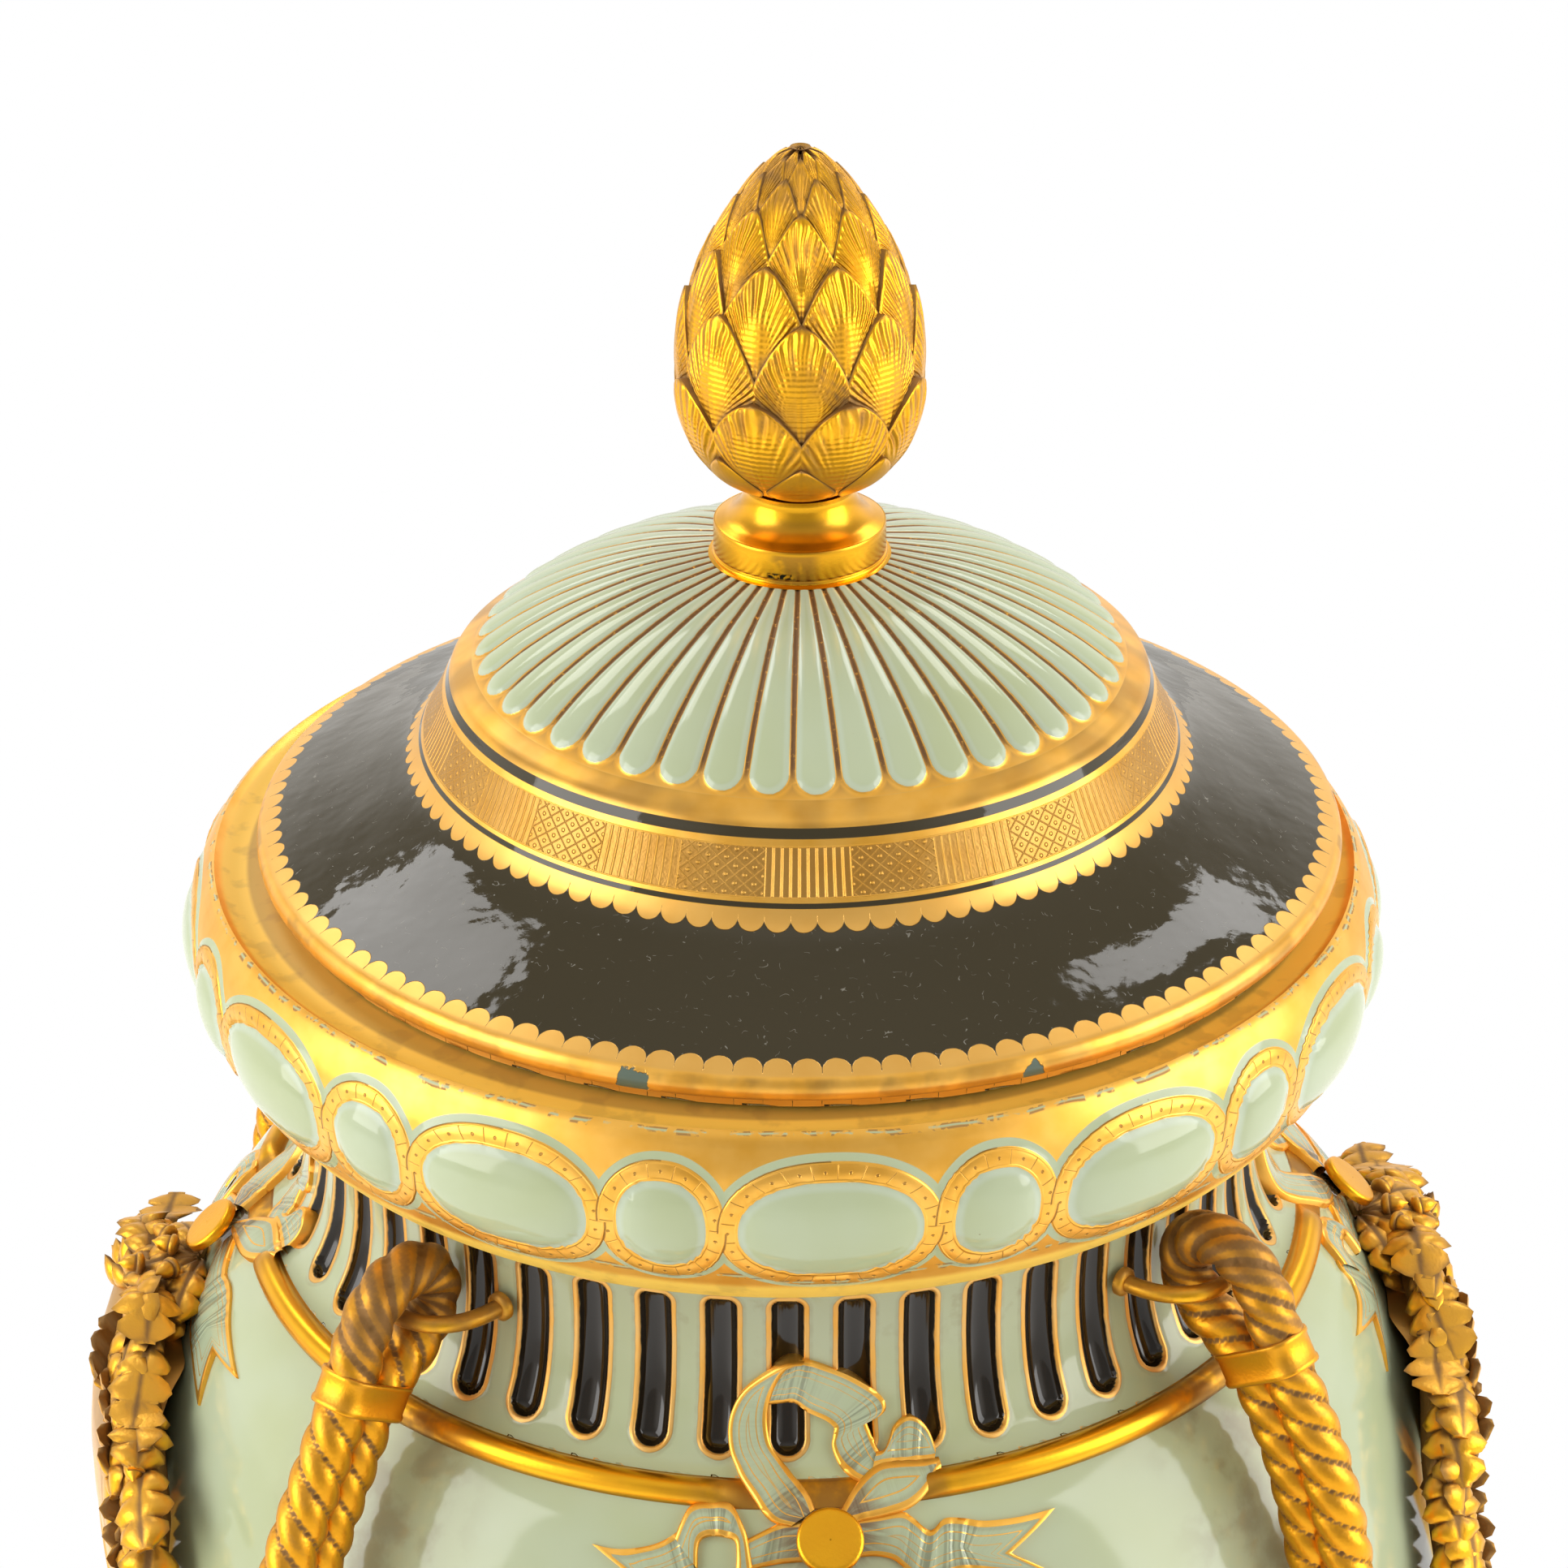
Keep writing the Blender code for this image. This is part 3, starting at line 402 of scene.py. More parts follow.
class Shell:
    """Vertices, faces and named values of one mesh, gathered patch by patch."""

    def __init__(self):
        self.points = []
        self.faces = []
        self.surfaces = []
        self.values = []
        self.count = 0

    def patch(self, points, closed=False, flip=False, surface=0, **values):
        """A grid of rows and columns. It faces out where rows go down and columns grow in azimuth."""
        rows, columns = points.shape[:2]
        index = np.arange(rows * columns).reshape(rows, columns) + self.count
        if closed:
            index = np.hstack([index, index[:, :1]])
        corners = [index[:-1, :-1], index[1:, :-1], index[1:, 1:], index[:-1, 1:]]
        if flip:
            corners.reverse()
        self.faces.append(np.stack(corners, -1).reshape(-1, 4))
        self.surfaces.append(np.full(len(self.faces[-1]), surface))
        self.points.append(points.reshape(-1, 3))
        self.values.append({name: np.broadcast_to(value, (rows, columns)).reshape(-1)
                            for name, value in values.items()})
        self.count += rows * columns

    def turned(self, outline, columns, **options):
        """A surface of revolution. Its outline goes down on the outside."""
        outline = np.asarray(outline, float)
        points = around(all_round(columns)[None, :], outline[:, :1], outline[:, 1:2])
        self.patch(points, closed=True, along=lengths_along(outline)[:, None], **options)

    def tube(self, line, reach, sides, ends=True, sideways=(0.0, 0.0, 1.0), **values):
        """A round bar along a line. reach may be an array with one radius for each point."""
        line = np.asarray(line, float)
        ahead = unit(np.gradient(line, axis=0))
        across = unit(np.cross(ahead, sideways))
        up = np.cross(across, ahead)
        turn = 2 * np.pi * np.arange(sides) / sides
        reach = np.broadcast_to(reach, len(line))
        circle = (across[:, None] * np.cos(turn)[None, :, None]
                  + up[:, None] * np.sin(turn)[None, :, None])
        rings = line[:, None] + reach[:, None, None] * circle
        if ends:
            rings = np.concatenate([np.repeat(line[:1, None], sides, 1), rings,
                                    np.repeat(line[-1:, None], sides, 1)])
        self.patch(rings, closed=True, flip=True, **values)

    def finish(self, name, materials, slot, nodes, centre=(0.0, 0.0), sharp=50.0):
        points = np.concatenate(self.points) + np.array([centre[0], centre[1], RIM])
        faces = np.concatenate(self.faces)
        mesh = bpy.data.meshes.new(name)
        mesh.vertices.add(len(points))
        mesh.vertices.foreach_set("co", (points * MM).astype(np.float32).ravel())
        mesh.loops.add(faces.size)
        mesh.loops.foreach_set("vertex_index", faces.astype(np.int32).ravel())
        mesh.polygons.add(len(faces))
        mesh.polygons.foreach_set("loop_start", np.arange(0, faces.size, 4, dtype=np.int32))
        mesh.polygons.foreach_set("material_index", np.concatenate(self.surfaces).astype(np.int32))
        mesh.update(calc_edges=True)
        names = sorted({key for patch in self.values for key in patch})
        for key in names:
            values = np.concatenate([patch.get(key, np.zeros(len(some)))
                                     for patch, some in zip(self.values, self.points)])
            layer = mesh.attributes.new(key, "FLOAT", "POINT")
            layer.data.foreach_set("value", values.astype(np.float32))
        for material in materials:
            mesh.materials.append(material)
        weld(mesh)
        mesh.shade_smooth()
        mesh.set_sharp_from_angle(angle=math.radians(sharp))
        made = placed(name, mesh)
        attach(made, "root")
        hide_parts(*nodes)
        return made


def placed(name, data):
    """A new object of the scene."""
    made = bpy.data.objects.new(name, data)
    bpy.context.scene.collection.objects.link(made)
    return made


def weld(mesh):
    """Joins the seams of patches that meet, and drops the faces that close up at a pole."""
    work = bmesh.new()
    work.from_mesh(mesh)
    bmesh.ops.remove_doubles(work, verts=work.verts, dist=0.004 * MM)
    work.to_mesh(mesh)
    work.free()


# ---------------------------------------------------------------- materials

CELADON = (0.442, 0.498, 0.288)
PALE_CELADON = (0.53, 0.61, 0.50)
DARK_GLAZE = (0.040, 0.030, 0.011)
FLUTE_GLAZE = (0.018, 0.012, 0.006)
GOLD = (0.95, 0.475, 0.022)
DEEP_GOLD = (0.86, 0.39, 0.02)
SATIN_GOLD = (1.0, 0.545, 0.10)
TAN = (0.50, 0.29, 0.10)
MATTE_GOLD = (0.78, 0.47, 0.15)
GROOVE_BROWN = (0.17, 0.08, 0.032)
PATINA = (0.20, 0.11, 0.045)
LEDGE_GOLD_AND_REFLECTION = (1.0, 0.66, 0.10)
NECK_SOIL_AND_SHADE = (0.30, 0.27, 0.14)
CHIP_GREEN = (0.10, 0.14, 0.105)
RIBBON_CELADON = (0.43, 0.50, 0.33)
HATCH_GREEN = (0.13, 0.15, 0.11)
PANEL_CELADON = (0.60, 0.66, 0.52)
PANEL_SHADE = (0.52, 0.59, 0.44)
MARK_BLACK = (0.02, 0.02, 0.015)
WALL_LIGHT = (1.0, 0.975, 0.93)
FLOOR_GREY = (0.9, 0.9, 0.9)
WHITE = (1.0, 1.0, 1.0)
DUST = (0.42, 0.40, 0.34)
SOFT = 0.07  # half width of a painted edge


class Value:
    """A number inside a material's node tree, with ordinary sums."""

    is_colour = False

    def __init__(self, tree, socket):
        self.tree = tree
        self.socket = socket

    def sum(self, kind, *others):
        return node(self.tree, "Math", 0, enumerate((self, *others)), operation=kind)

    def __add__(self, other):
        return self.sum("ADD", other)

    def __sub__(self, other):
        return self.sum("SUBTRACT", other)

    def __mul__(self, other):
        return self.sum("MULTIPLY", other)

    def __truediv__(self, other):
        return self.sum("DIVIDE", other)

    def __pow__(self, other):
        return self.sum("POWER", other)

    def __mod__(self, other):
        return self.sum("FLOORED_MODULO", other)

    def __rsub__(self, other):
        return self * -1.0 + other

    def __abs__(self):
        return self.sum("ABSOLUTE")

    __radd__ = __add__
    __rmul__ = __mul__

    def least(self, other):
        return self.sum("MINIMUM", other)

    def most(self, other):
        return self.sum("MAXIMUM", other)

    def above(self, limit, soft=SOFT):
        """1 where the number is over the limit, 0 where it is under it."""
        ends = {"Value": self, "From Min": limit - soft, "From Max": limit + soft}
        return node(self.tree, "MapRange", "Result", ends, interpolation_type="SMOOTHSTEP")

    def below(self, limit, soft=SOFT):
        return 1.0 - self.above(limit, soft)

    def within(self, low, high, soft=SOFT):
        """1 between two limits, 0 outside them."""
        return self.above(low, soft) * self.below(high, soft)

    def near(self, place, reach, soft=SOFT):
        """1 within some reach of a place, 0 further away."""
        return abs(self - place).below(reach, soft)


def feed(tree, socket, item):
    """Feeds a node's input with a value, a colour or a number."""
    if isinstance(item, Value):
        tree.links.new(item.socket, socket)
    elif isinstance(item, tuple):
        socket.default_value = (*item, 1.0)
    else:
        socket.default_value = item


def node(tree, kind, output=0, inputs=(), **settings):
    """The output of a new node, with its inputs fed by their names or numbers."""
    made = tree.nodes.new("ShaderNode" + kind)
    for key, setting in settings.items():
        setattr(made, key, setting)
    for key, item in dict(inputs).items():
        feed(tree, made.inputs[key], item)
    return Value(tree, made.outputs[output])


class Paint:
    """The node tree of one finish: where a point is, the finishes laid over one another, and the relief."""

    def __init__(self, name, centre=(0.0, 0.0), colour=CELADON, roughness=0.1, metal=0.0):
        self.material = bpy.data.materials.new(name)
        self.material.use_nodes = True
        self.tree = self.material.node_tree
        self.shader = self.tree.nodes["Principled BSDF"]
        place = node(self.tree, "TexCoord", "Object")
        self.x, self.y, z = (node(self.tree, "SeparateXYZ", side, {0: place}) * (1 / MM)
                             for side in range(3))
        self.x = self.x - centre[0]
        self.y = self.y - centre[1]
        self.height = z - RIM
        self.azimuth = self.x.sum("ARCTAN2", self.y * -1.0) * math.degrees(1.0)
        self.colour = colour
        self.roughness = roughness
        self.metal = metal
        self.relief = 0.0

    def value(self, name):
        """A value that the mesh carries at each point."""
        return node(self.tree, "Attribute", "Fac", attribute_name=name)

    def spot(self, *sides):
        return node(self.tree, "CombineXYZ", 0, enumerate(sides))

    def noise(self, size, detail=2.0, stretch=(1.0, 1.0, 1.0), distortion=0.0):
        """Smooth noise between 0 and 1 whose lumps are some millimetres across."""
        sides = (side if grow == 1.0 else side * (1.0 / grow)
                 for side, grow in zip((self.x, self.y, self.height), stretch))
        inputs = {"Vector": self.spot(*sides), "Scale": 1.0 / size, "Detail": detail,
                  "Distortion": distortion}
        return node(self.tree, "TexNoise", "Fac", inputs)

    def rays(self, first, second):
        """Noise over two numbers of the object's own, such as an angle and a distance."""
        return node(self.tree, "TexNoise", "Fac", {"Vector": self.spot(first, second, 0.0), "Scale": 1.0})

    def specks(self, pitch, reach, share):
        """1 on small round specks, in some share of cells of this pitch."""
        place = self.spot(self.x, self.y, self.height)
        away = node(self.tree, "TexVoronoi", "Distance", {"Vector": place, "Scale": 1.0 / pitch})
        cell_colour = Value(self.tree, away.socket.node.outputs["Color"])
        pick = node(self.tree, "SeparateColor", 0, {0: cell_colour})
        return away.below(reach / pitch, 0.4 * reach / pitch) * pick.below(share, 0.01)

    def facing_up(self):
        """1 on level surfaces, 0 on upright ones, -1 underneath."""
        return node(self.tree, "SeparateXYZ", 2, {0: node(self.tree, "TexCoord", "Normal")})

    def crevice(self, reach):
        """1 deep between neighbouring forms, 0 on open ones. It is ambient occlusion, so where it darkens a
        colour that is painted shade.
        """
        openness = node(self.tree, "AmbientOcclusion", "AO", {"Distance": reach * MM},
                        only_local=True, samples=6)
        return 1.0 - openness

    def mix(self, share, first, second):
        """first where share is 0, second where it is 1. Both are numbers, or both are colours."""
        if any(isinstance(item, tuple) or getattr(item, "is_colour", False) for item in (first, second)):
            found = node(self.tree, "Mix", 2, {0: share, 6: first, 7: second}, data_type="RGBA")
            found.is_colour = True
            return found
        return share * (second - first) + first

    def lay(self, share, colour, roughness, metal):
        """Lays a finish over those below it."""
        self.colour = self.mix(share, self.colour, colour)
        self.roughness = self.mix(share, self.roughness, roughness)
        self.metal = self.mix(share, self.metal, metal)

    def tint(self, share, colour):
        """Changes the colour alone."""
        self.colour = self.mix(share, self.colour, colour)

    def dull(self, share, roughness):
        """Changes the roughness alone."""
        self.roughness = self.mix(share, self.roughness, roughness)

    def raise_by(self, height):
        """Adds relief, in millimetres."""
        self.relief = height + self.relief

    def done(self):
        """Feeds the shader with what has been laid, and gives the material."""
        finish = {"Base Color": self.colour, "Roughness": self.roughness, "Metallic": self.metal}
        for key, item in finish.items():
            feed(self.tree, self.shader.inputs[key], item)
        if isinstance(self.relief, Value):
            bump = node(self.tree, "Bump", "Normal", {"Distance": MM, "Height": self.relief})
            feed(self.tree, self.shader.inputs["Normal"], bump)
        return self.material


# ---------------------------------------------------------------- patterns, for materials and for meshes

def larger(first, second):
    """The larger of two numbers of either kind."""
    return first.most(second) if isinstance(first, Value) else np.maximum(first, second)


def smaller(first, second):
    """The smaller of two numbers of either kind."""
    return first.least(second) if isinstance(first, Value) else np.minimum(first, second)


def length(*sides):
    """Length of a vector with these sides."""
    total = sides[0] * sides[0]
    for side in sides[1:]:
        total = total + side * side
    return total ** 0.5


def nearest(value, phase, pitch):
    """Signed distance from a value to the nearest of an even set, the first at the phase."""
    return (value - (phase - pitch / 2)) % pitch - pitch / 2


def cabochon_field(azimuth, level, phase, shape):
    """(share of the way from a cabochon's centre to its outline, distance outside it)."""
    half_angle, half_height, centre = shape
    half_width = half_angle * COLLAR_ARC
    u = abs(nearest(azimuth, phase, CABOCHON_PITCH)) * COLLAR_ARC + BARELY
    v = abs(level - centre) + BARELY
    n = OVAL_POWER
    share = ((u / half_width) ** n + (v / half_height) ** n) ** (1 / n)
    slope = length(u ** (n - 1) * half_width ** -n, v ** (n - 1) * half_height ** -n)
    return share, (share - 1.0) / (share ** (1 - n) * slope)


def flute_field(azimuth, level, girth):
    """(millimetres outside the nearest flute of the neck, that flute's half width)."""
    arc = abs(nearest(azimuth, FLUTE_PITCH / 2, FLUTE_PITCH)) * girth * DEGREE
    half = girth * (FLUTE_HALF * DEGREE)
    foot = larger(FLUTE_FOOT - level, 0.0) * FOOT_SLANT
    corner_x = arc - half + FLUTE_CORNER
    corner_y = level - (FLUTE_TOP - FLUTE_CORNER)
    top = (length(larger(corner_x, 0.0), larger(corner_y, 0.0))
           + smaller(larger(corner_x, corner_y), 0.0) - FLUTE_CORNER)
    return larger(length(arc, foot) - half, top), half


def lobe_field(azimuth, girth):
    """(distance outside the nearest lobe of the lid, that lobe's half width)."""
    arc = abs(nearest(azimuth, LOBE_PHASE + LOBE_PITCH / 2, LOBE_PITCH)) * girth * DEGREE
    half = smaller(girth, LOBE_END) * LOBE_SPREAD - LOBE_GAP
    beyond = larger(girth - LOBE_END, 0.0) * LOBE_SLANT
    return length(arc, beyond) - half, half


# ---------------------------------------------------------------- finishes

def glaze_flaws(paint):
    """Pinholes and slow waves of a thick glaze."""
    paint.raise_by(paint.noise(9.0, 1.0) * 0.05)
    paint.tint(paint.noise(26.0, 2.0).above(0.5, 0.25) * 0.35, PALE_CELADON)
    paint.tint(paint.specks(5.0, 0.16, 0.10) * 0.6, GROOVE_BROWN)


def gilt(paint, share, colour=SATIN_GOLD, roughness=0.32):
    """Gilding over porcelain: fine brush marks, and richer colour in patches."""
    patches = paint.noise(7.0, 3.0).above(0.52, 0.22)
    fine = paint.noise(0.7, 3.0)
    tone = paint.mix(patches * 0.55, colour, DEEP_GOLD)
    paint.lay(share, tone, fine * 0.16 + (roughness - 0.06), 0.82)
    paint.raise_by(share * fine * 0.006)


def celadon_paint():
    paint = Paint("celadon glaze")
    glaze_flaws(paint)
    return paint.done()


def cabochon_marks(paint, level, phase, shape, boxes):
    """(distance outside a cabochon, to the nearest tick, to the nearest dot, height over its centre)."""
    half_angle, half_height, centre = shape
    across = nearest(paint.azimuth, phase, CABOCHON_PITCH) * COLLAR_ARC
    up = level - centre
    _, outside = cabochon_field(paint.azimuth, level, phase, shape)
    evened = (up / half_height).sum("ARCTAN2", across / (half_angle * COLLAR_ARC))
    turn = (up.sum("ARCTAN2", across) + evened) * 0.5
    pitch = 2 * math.pi / boxes
    box = BOX_LENGTH / pitch
    return outside, abs(nearest(turn, 0.0, pitch)) * box, nearest(turn, pitch / 2, pitch) * box, up


def guilloche_finish(paint, level):
    """Two kinds of framed cabochon whose tooled gilt frames cross, and the gilt ground round them."""
    oval, oval_tick, oval_dot, up = cabochon_marks(paint, level, 0.0, OVAL, OVAL_BOXES)
    ring, ring_tick, ring_dot, _ = cabochon_marks(paint, level, CABOCHON_PITCH / 2, ROUND, ROUND_BOXES)
    nearest_one = oval.least(ring)
    # Painted highlight: paler glaze round the inside of each cabochon's edge.
    paint.tint(nearest_one.within(-1.2, 0.0, 0.5) * 0.55, PALE_CELADON)
    # One frame lies on top above the middle of each crossing, the other below it.
    side = (paint.azimuth * (2 * math.pi / CABOCHON_PITCH)).sum("SINE") * up
    ring_first = side.above(0.0, 0.01)
    ring_shows = paint.mix(ring_first, oval.above(FRAME_WIDTH, 0.02), ring.below(FRAME_WIDTH, 0.02))
    distance = paint.mix(ring_shows, oval, ring)
    frame = nearest_one.within(0.0, FRAME_WIDTH)
    ground = nearest_one.above(FRAME_WIDTH + OUTLINE_WIDTH).most(level.above(GILT_ABOVE, 0.3))
    gilt(paint, frame.most(ground))
    seam = paint.mix(ring_first, oval, ring).near(FRAME_WIDTH, 0.12, 0.1) * frame
    edges = distance.near(FRAME_LINE, 0.12, 0.15) + distance.near(FRAME_WIDTH - FRAME_LINE, 0.12, 0.15)
    tick = paint.mix(ring_shows, oval_tick, ring_tick)
    ticks = tick.below(0.07, 0.06) * distance.within(0.6, FRAME_WIDTH - 0.5) * frame
    dot = length(paint.mix(ring_shows, oval_dot, ring_dot), distance - 0.5 * FRAME_WIDTH)
    dots = dot.below(0.26, 0.1) * frame
    paint.tint((ticks * 0.55).most(seam * 0.7).most(dots * 0.6), GROOVE_BROWN)
    paint.raise_by(edges * frame * 0.10 - ticks * 0.10 - seam * 0.2 - dots * 0.25)
    paint.dull(ground * level.below(GILT_ABOVE, 0.3) * 0.6, 0.40)


def ridge_wear(paint, girth):
    """Where the gilding of the collar's ridge is rubbed through to the glaze."""
    drift = (paint.noise(16.0, 2.0) - 0.5) * 1.6
    ridge = abs(girth - RIDGE_GIRTH + drift)
    wear = paint.noise(2.6, 4.0, distortion=0.6)
    paint.lay(ridge.below(0.16, 0.12) * wear.above(0.50, 0.05), CELADON, 0.3, 0.0)
    paint.lay(ridge.within(0.16, 0.42, 0.12) * wear.above(0.54, 0.03) * 0.8, PATINA, 0.6, 0.2)


def ledge_finish(paint, girth):
    """The satin gilding of the ledge under the lid, brightened as painted reflection of the gold round it,
    and darker where the lid shades it.
    """
    ledge = girth.below(LEDGE_GIRTH, 0.6)
    # Painted reflection: a bright, nearly unmetallic gold stands in for light thrown back by the gilding
    # round the ledge.
    paint.lay(ledge * 0.9, LEDGE_GOLD_AND_REFLECTION, 0.5, 0.1)
    paint.tint(ledge * girth.below(LEDGE_SHADE_GIRTH, 0.5) * 0.5, GROOVE_BROWN)
    paint.tint(ledge * paint.noise(7.0, 4.0).above(0.58, 0.06) * 0.2, PATINA)


def collar_paint():
    paint = Paint("collar glaze and gilding")
    glaze_flaws(paint)
    guilloche_finish(paint, paint.value("level"))
    girth = length(paint.x, paint.y)
    ridge_wear(paint, girth)
    ledge_finish(paint, girth)
    return paint.done()


def neck_paint():
    """Celadon with dark glazed flutes in thin gilt lines, soiled and with painted shade towards the top,
    under the collar.
    """
    paint = Paint("neck glaze and gilding")
    glaze_flaws(paint)
    level = paint.value("level")
    girth = paint.value("girth")
    wobble = (paint.noise(3.0, 2.0) - 0.5) * 0.3
    distance = flute_field(paint.azimuth, level, girth)[0] + wobble
    # Soiling in patches towards the top, and painted shade under the collar that grows towards the top.
    dirt_and_shade = paint.noise(4.0, 4.0).above(0.6, 0.06) * level.above(-58.0, 8.0)
    paint.tint(dirt_and_shade * 0.25, PATINA)
    paint.tint(level.above(-66.0, 16.0) * 0.30, NECK_SOIL_AND_SHADE)
    paint.tint(distance.within(0.9, 1.6, 0.3) * paint.noise(2.0, 2.0) * 0.3, GROOVE_BROWN)
    gilt(paint, distance.within(0.0, 1.0), MATTE_GOLD, 0.40)
    paint.tint(distance.within(0.88, 1.06, 0.08) * 0.35, GROOVE_BROWN)
    paint.tint(distance.within(-0.12, 0.04, 0.08) * 0.3, GROOVE_BROWN)
    paint.lay(distance.below(0.0), FLUTE_GLAZE, 0.10, 0.0)
    return paint.done()


def beside_bows(paint, reach, soft):
    """1 near the middles of the four bows."""
    return nearest(paint.azimuth, 0.0, 90.0).near(0.0, reach, soft)


def beside_ropes(paint, reach, soft):
    """1 near the four ropes."""
    return nearest(paint.azimuth, 45.0, 90.0).near(0.0, reach, soft)


def ring_paint():
    """Satin gilding on the shoulder ring, rubbed brown beside the ropes and the bows."""
    paint = Paint("gilt shoulder ring", colour=GOLD, roughness=0.30, metal=1.0)
    streaks = paint.noise(5.0, 3.0, stretch=(1.0, 1.0, 0.25))
    paint.tint(streaks.above(0.5, 0.2) * 0.45, DEEP_GOLD)
    rubbed = beside_bows(paint, 12.0, 5.0).most(beside_ropes(paint, 7.0, 6.0))
    rubbed = rubbed * paint.noise(5.0, 3.0).above(0.40, 0.18)
    paint.lay(rubbed * 0.72, GROOVE_BROWN, 0.5, 0.7)
    paint.tint((1.0 - paint.value("along").near(4.3, 3.4, 0.6)) * 0.45, GROOVE_BROWN)
    paint.raise_by(paint.noise(1.2, 2.0) * 0.02)
    return paint.done()


def lid_place(radius):
    """Distance along the lid's outline at one of its radii."""
    outline = smooth_curve(LID_OUTLINE, 8)
    climb = outline[:, 0].argmax()
    return float(np.interp(radius, outline[:climb, 0], lengths_along(outline)[:climb]))


def on_ring(along, edges):
    """1 on one of the lid's rings, given by the radii of its edges."""
    return along.within(*(lid_place(radius) for radius in edges))


def dome_finish(paint, girth):
    """Celadon lobes with gilt edges between brown grooves."""
    lobe = lobe_field(paint.azimuth, girth)[0] + (paint.noise(2.0, 2.0) - 0.5) * 0.16
    on_dome = girth.below(MOULDING[0], 0.2)
    # Painted highlight: paler glaze along the edges of the lobes.
    paint.tint(lobe.within(-0.9, 0.0, 0.4) * 0.5, PALE_CELADON)
    gilt(paint, (lobe.above(0.0) * on_dome).most(girth.above(MOULDING[0] - 0.2, 0.2)))
    narrow = girth.below(40.0, 12.0)
    groove = paint.mix(narrow, lobe.above(0.16, 0.12), lobe.above(0.02, 0.12)) * girth.below(56.8, 2.6)
    # Painted shade in the hollows between the lobes' ends.
    hollow = lobe.above(0.9, 0.5) * girth.within(50.0, 59.0, 1.6)
    rough_edge = paint.noise(0.9, 3.0).above(0.30, 0.12)
    paint.lay((groove * rough_edge * 0.95).most(hollow * 0.55), GROOVE_BROWN, 0.55, 0.2)


def moulding_finish(paint, along):
    """The gilt moulding round the dome, dulled and dirty in places."""
    moulding = on_ring(along, MOULDING)
    paint.tint(moulding * paint.noise(16.0, 2.0).above(0.50, 0.12) * 0.45, PATINA)
    paint.dull(moulding * along.below(lid_place(MOULDING_DULL_TO), 0.4), 0.34)


def band_finish(paint, along):
    """The band of tooled panels, ribbed and netted in turn, between two fine rules."""
    start, end = (lid_place(radius) for radius in TOOLED_BAND)
    margin = along.within(start + 0.9, end - 0.8, 0.05)
    panel = (paint.azimuth - BAND_PHASE) * (1.0 / BAND_PITCH)
    is_netted = (panel * 0.5 % 1.0).above(0.5, 0.001)
    within_panel = panel % 1.0
    rib_pitch = BAND_PITCH * DEGREE * BAND_GIRTH / BAND_RIBS
    ribs = (abs(nearest(within_panel * BAND_RIBS, 0.0, 1.0)) * rib_pitch).below(0.17, 0.14)
    over = within_panel * NET_CELLS
    down = (along - start) * (1.0 / NET_HEIGHT)
    crossing = [abs(nearest(way, 0.0, 1.0)) for way in (over + down, over - down)]
    thread = crossing[0].least(crossing[1]) * NET_THREAD_PITCH
    rising = nearest(over + down, 0.5, 1.0)
    falling = nearest(over - down, 0.5, 1.0)
    dot = length((rising + falling) * (0.5 * NET_WIDTH), (rising - falling) * (0.5 * NET_HEIGHT))
    net = (thread.below(0.08, 0.12) * 0.6).most(dot.below(0.3, 0.16))
    raised = paint.mix(is_netted, ribs, net) * margin
    rules = along.near(start + 0.75, 0.1, 0.1) + along.near(end - 0.7, 0.1, 0.1)
    stipple = paint.noise(0.5, 2.0)
    paint.tint(margin * (1.0 - raised) * 0.42, GROOVE_BROWN)
    paint.tint(margin * 0.25, PATINA)
    paint.dull(margin * 0.7, 0.42)
    paint.raise_by(raised * 0.2 + rules * 0.1 + margin * stipple * 0.07)


def scallops(paint, along, girth, row):
    """Distance outside a row of round scallops."""
    count, phase, middle_radius, tip_radius, outward = row
    pitch = 360.0 / count
    reach = math.radians(pitch / 2) * middle_radius
    centres = lid_place(tip_radius) - outward * reach
    arc = abs(nearest(paint.azimuth, phase + pitch / 2, pitch)) * girth * DEGREE
    return length(arc, ((along - centres) * outward).most(0.0)) - reach


def brim_finish(paint, along, girth):
    """The black lines, and the dark brim with dust on it between two rows of gilt scallops."""
    wobble = (paint.noise(1.6, 2.0) - 0.5) * 0.25
    clear = ((scallops(paint, along, girth, BAND_SCALLOPS) + wobble).above(0.0)
             * (scallops(paint, along, girth, RIM_SCALLOPS) + wobble).above(0.0))
    brim = clear * along.above(lid_place(BRIM_START), 0.2) * girth.below(98.5, 0.2)
    scalloped = along.above(lid_place(LOWER_LINE[1] + 0.05), 0.1) * girth.below(RIM_ROLL - 0.2, 0.3)
    paint.tint(scalloped * 0.45, MATTE_GOLD)
    paint.dull(scalloped * 0.8, 0.40)
    dark = brim.most(on_ring(along, UPPER_LINE)).most(on_ring(along, LOWER_LINE))
    paint.lay(dark, DARK_GLAZE, paint.noise(30.0, 2.0) * 0.04 + 0.03, 0.0)
    thread = paint.noise(2.6, 1.0, distortion=0.5).near(0.5, 0.006, 0.006)
    fibres = thread * paint.noise(1.7, 1.0).above(0.63, 0.02)
    dust = fibres.most(paint.specks(3.2, 0.13, 0.3)) * brim
    paint.lay(dust * 0.45, DUST, 0.8, 0.0)
    paint.raise_by(brim * (paint.noise(17.0, 3.0) * 0.5 + paint.noise(6.0, 2.0) * 0.05))


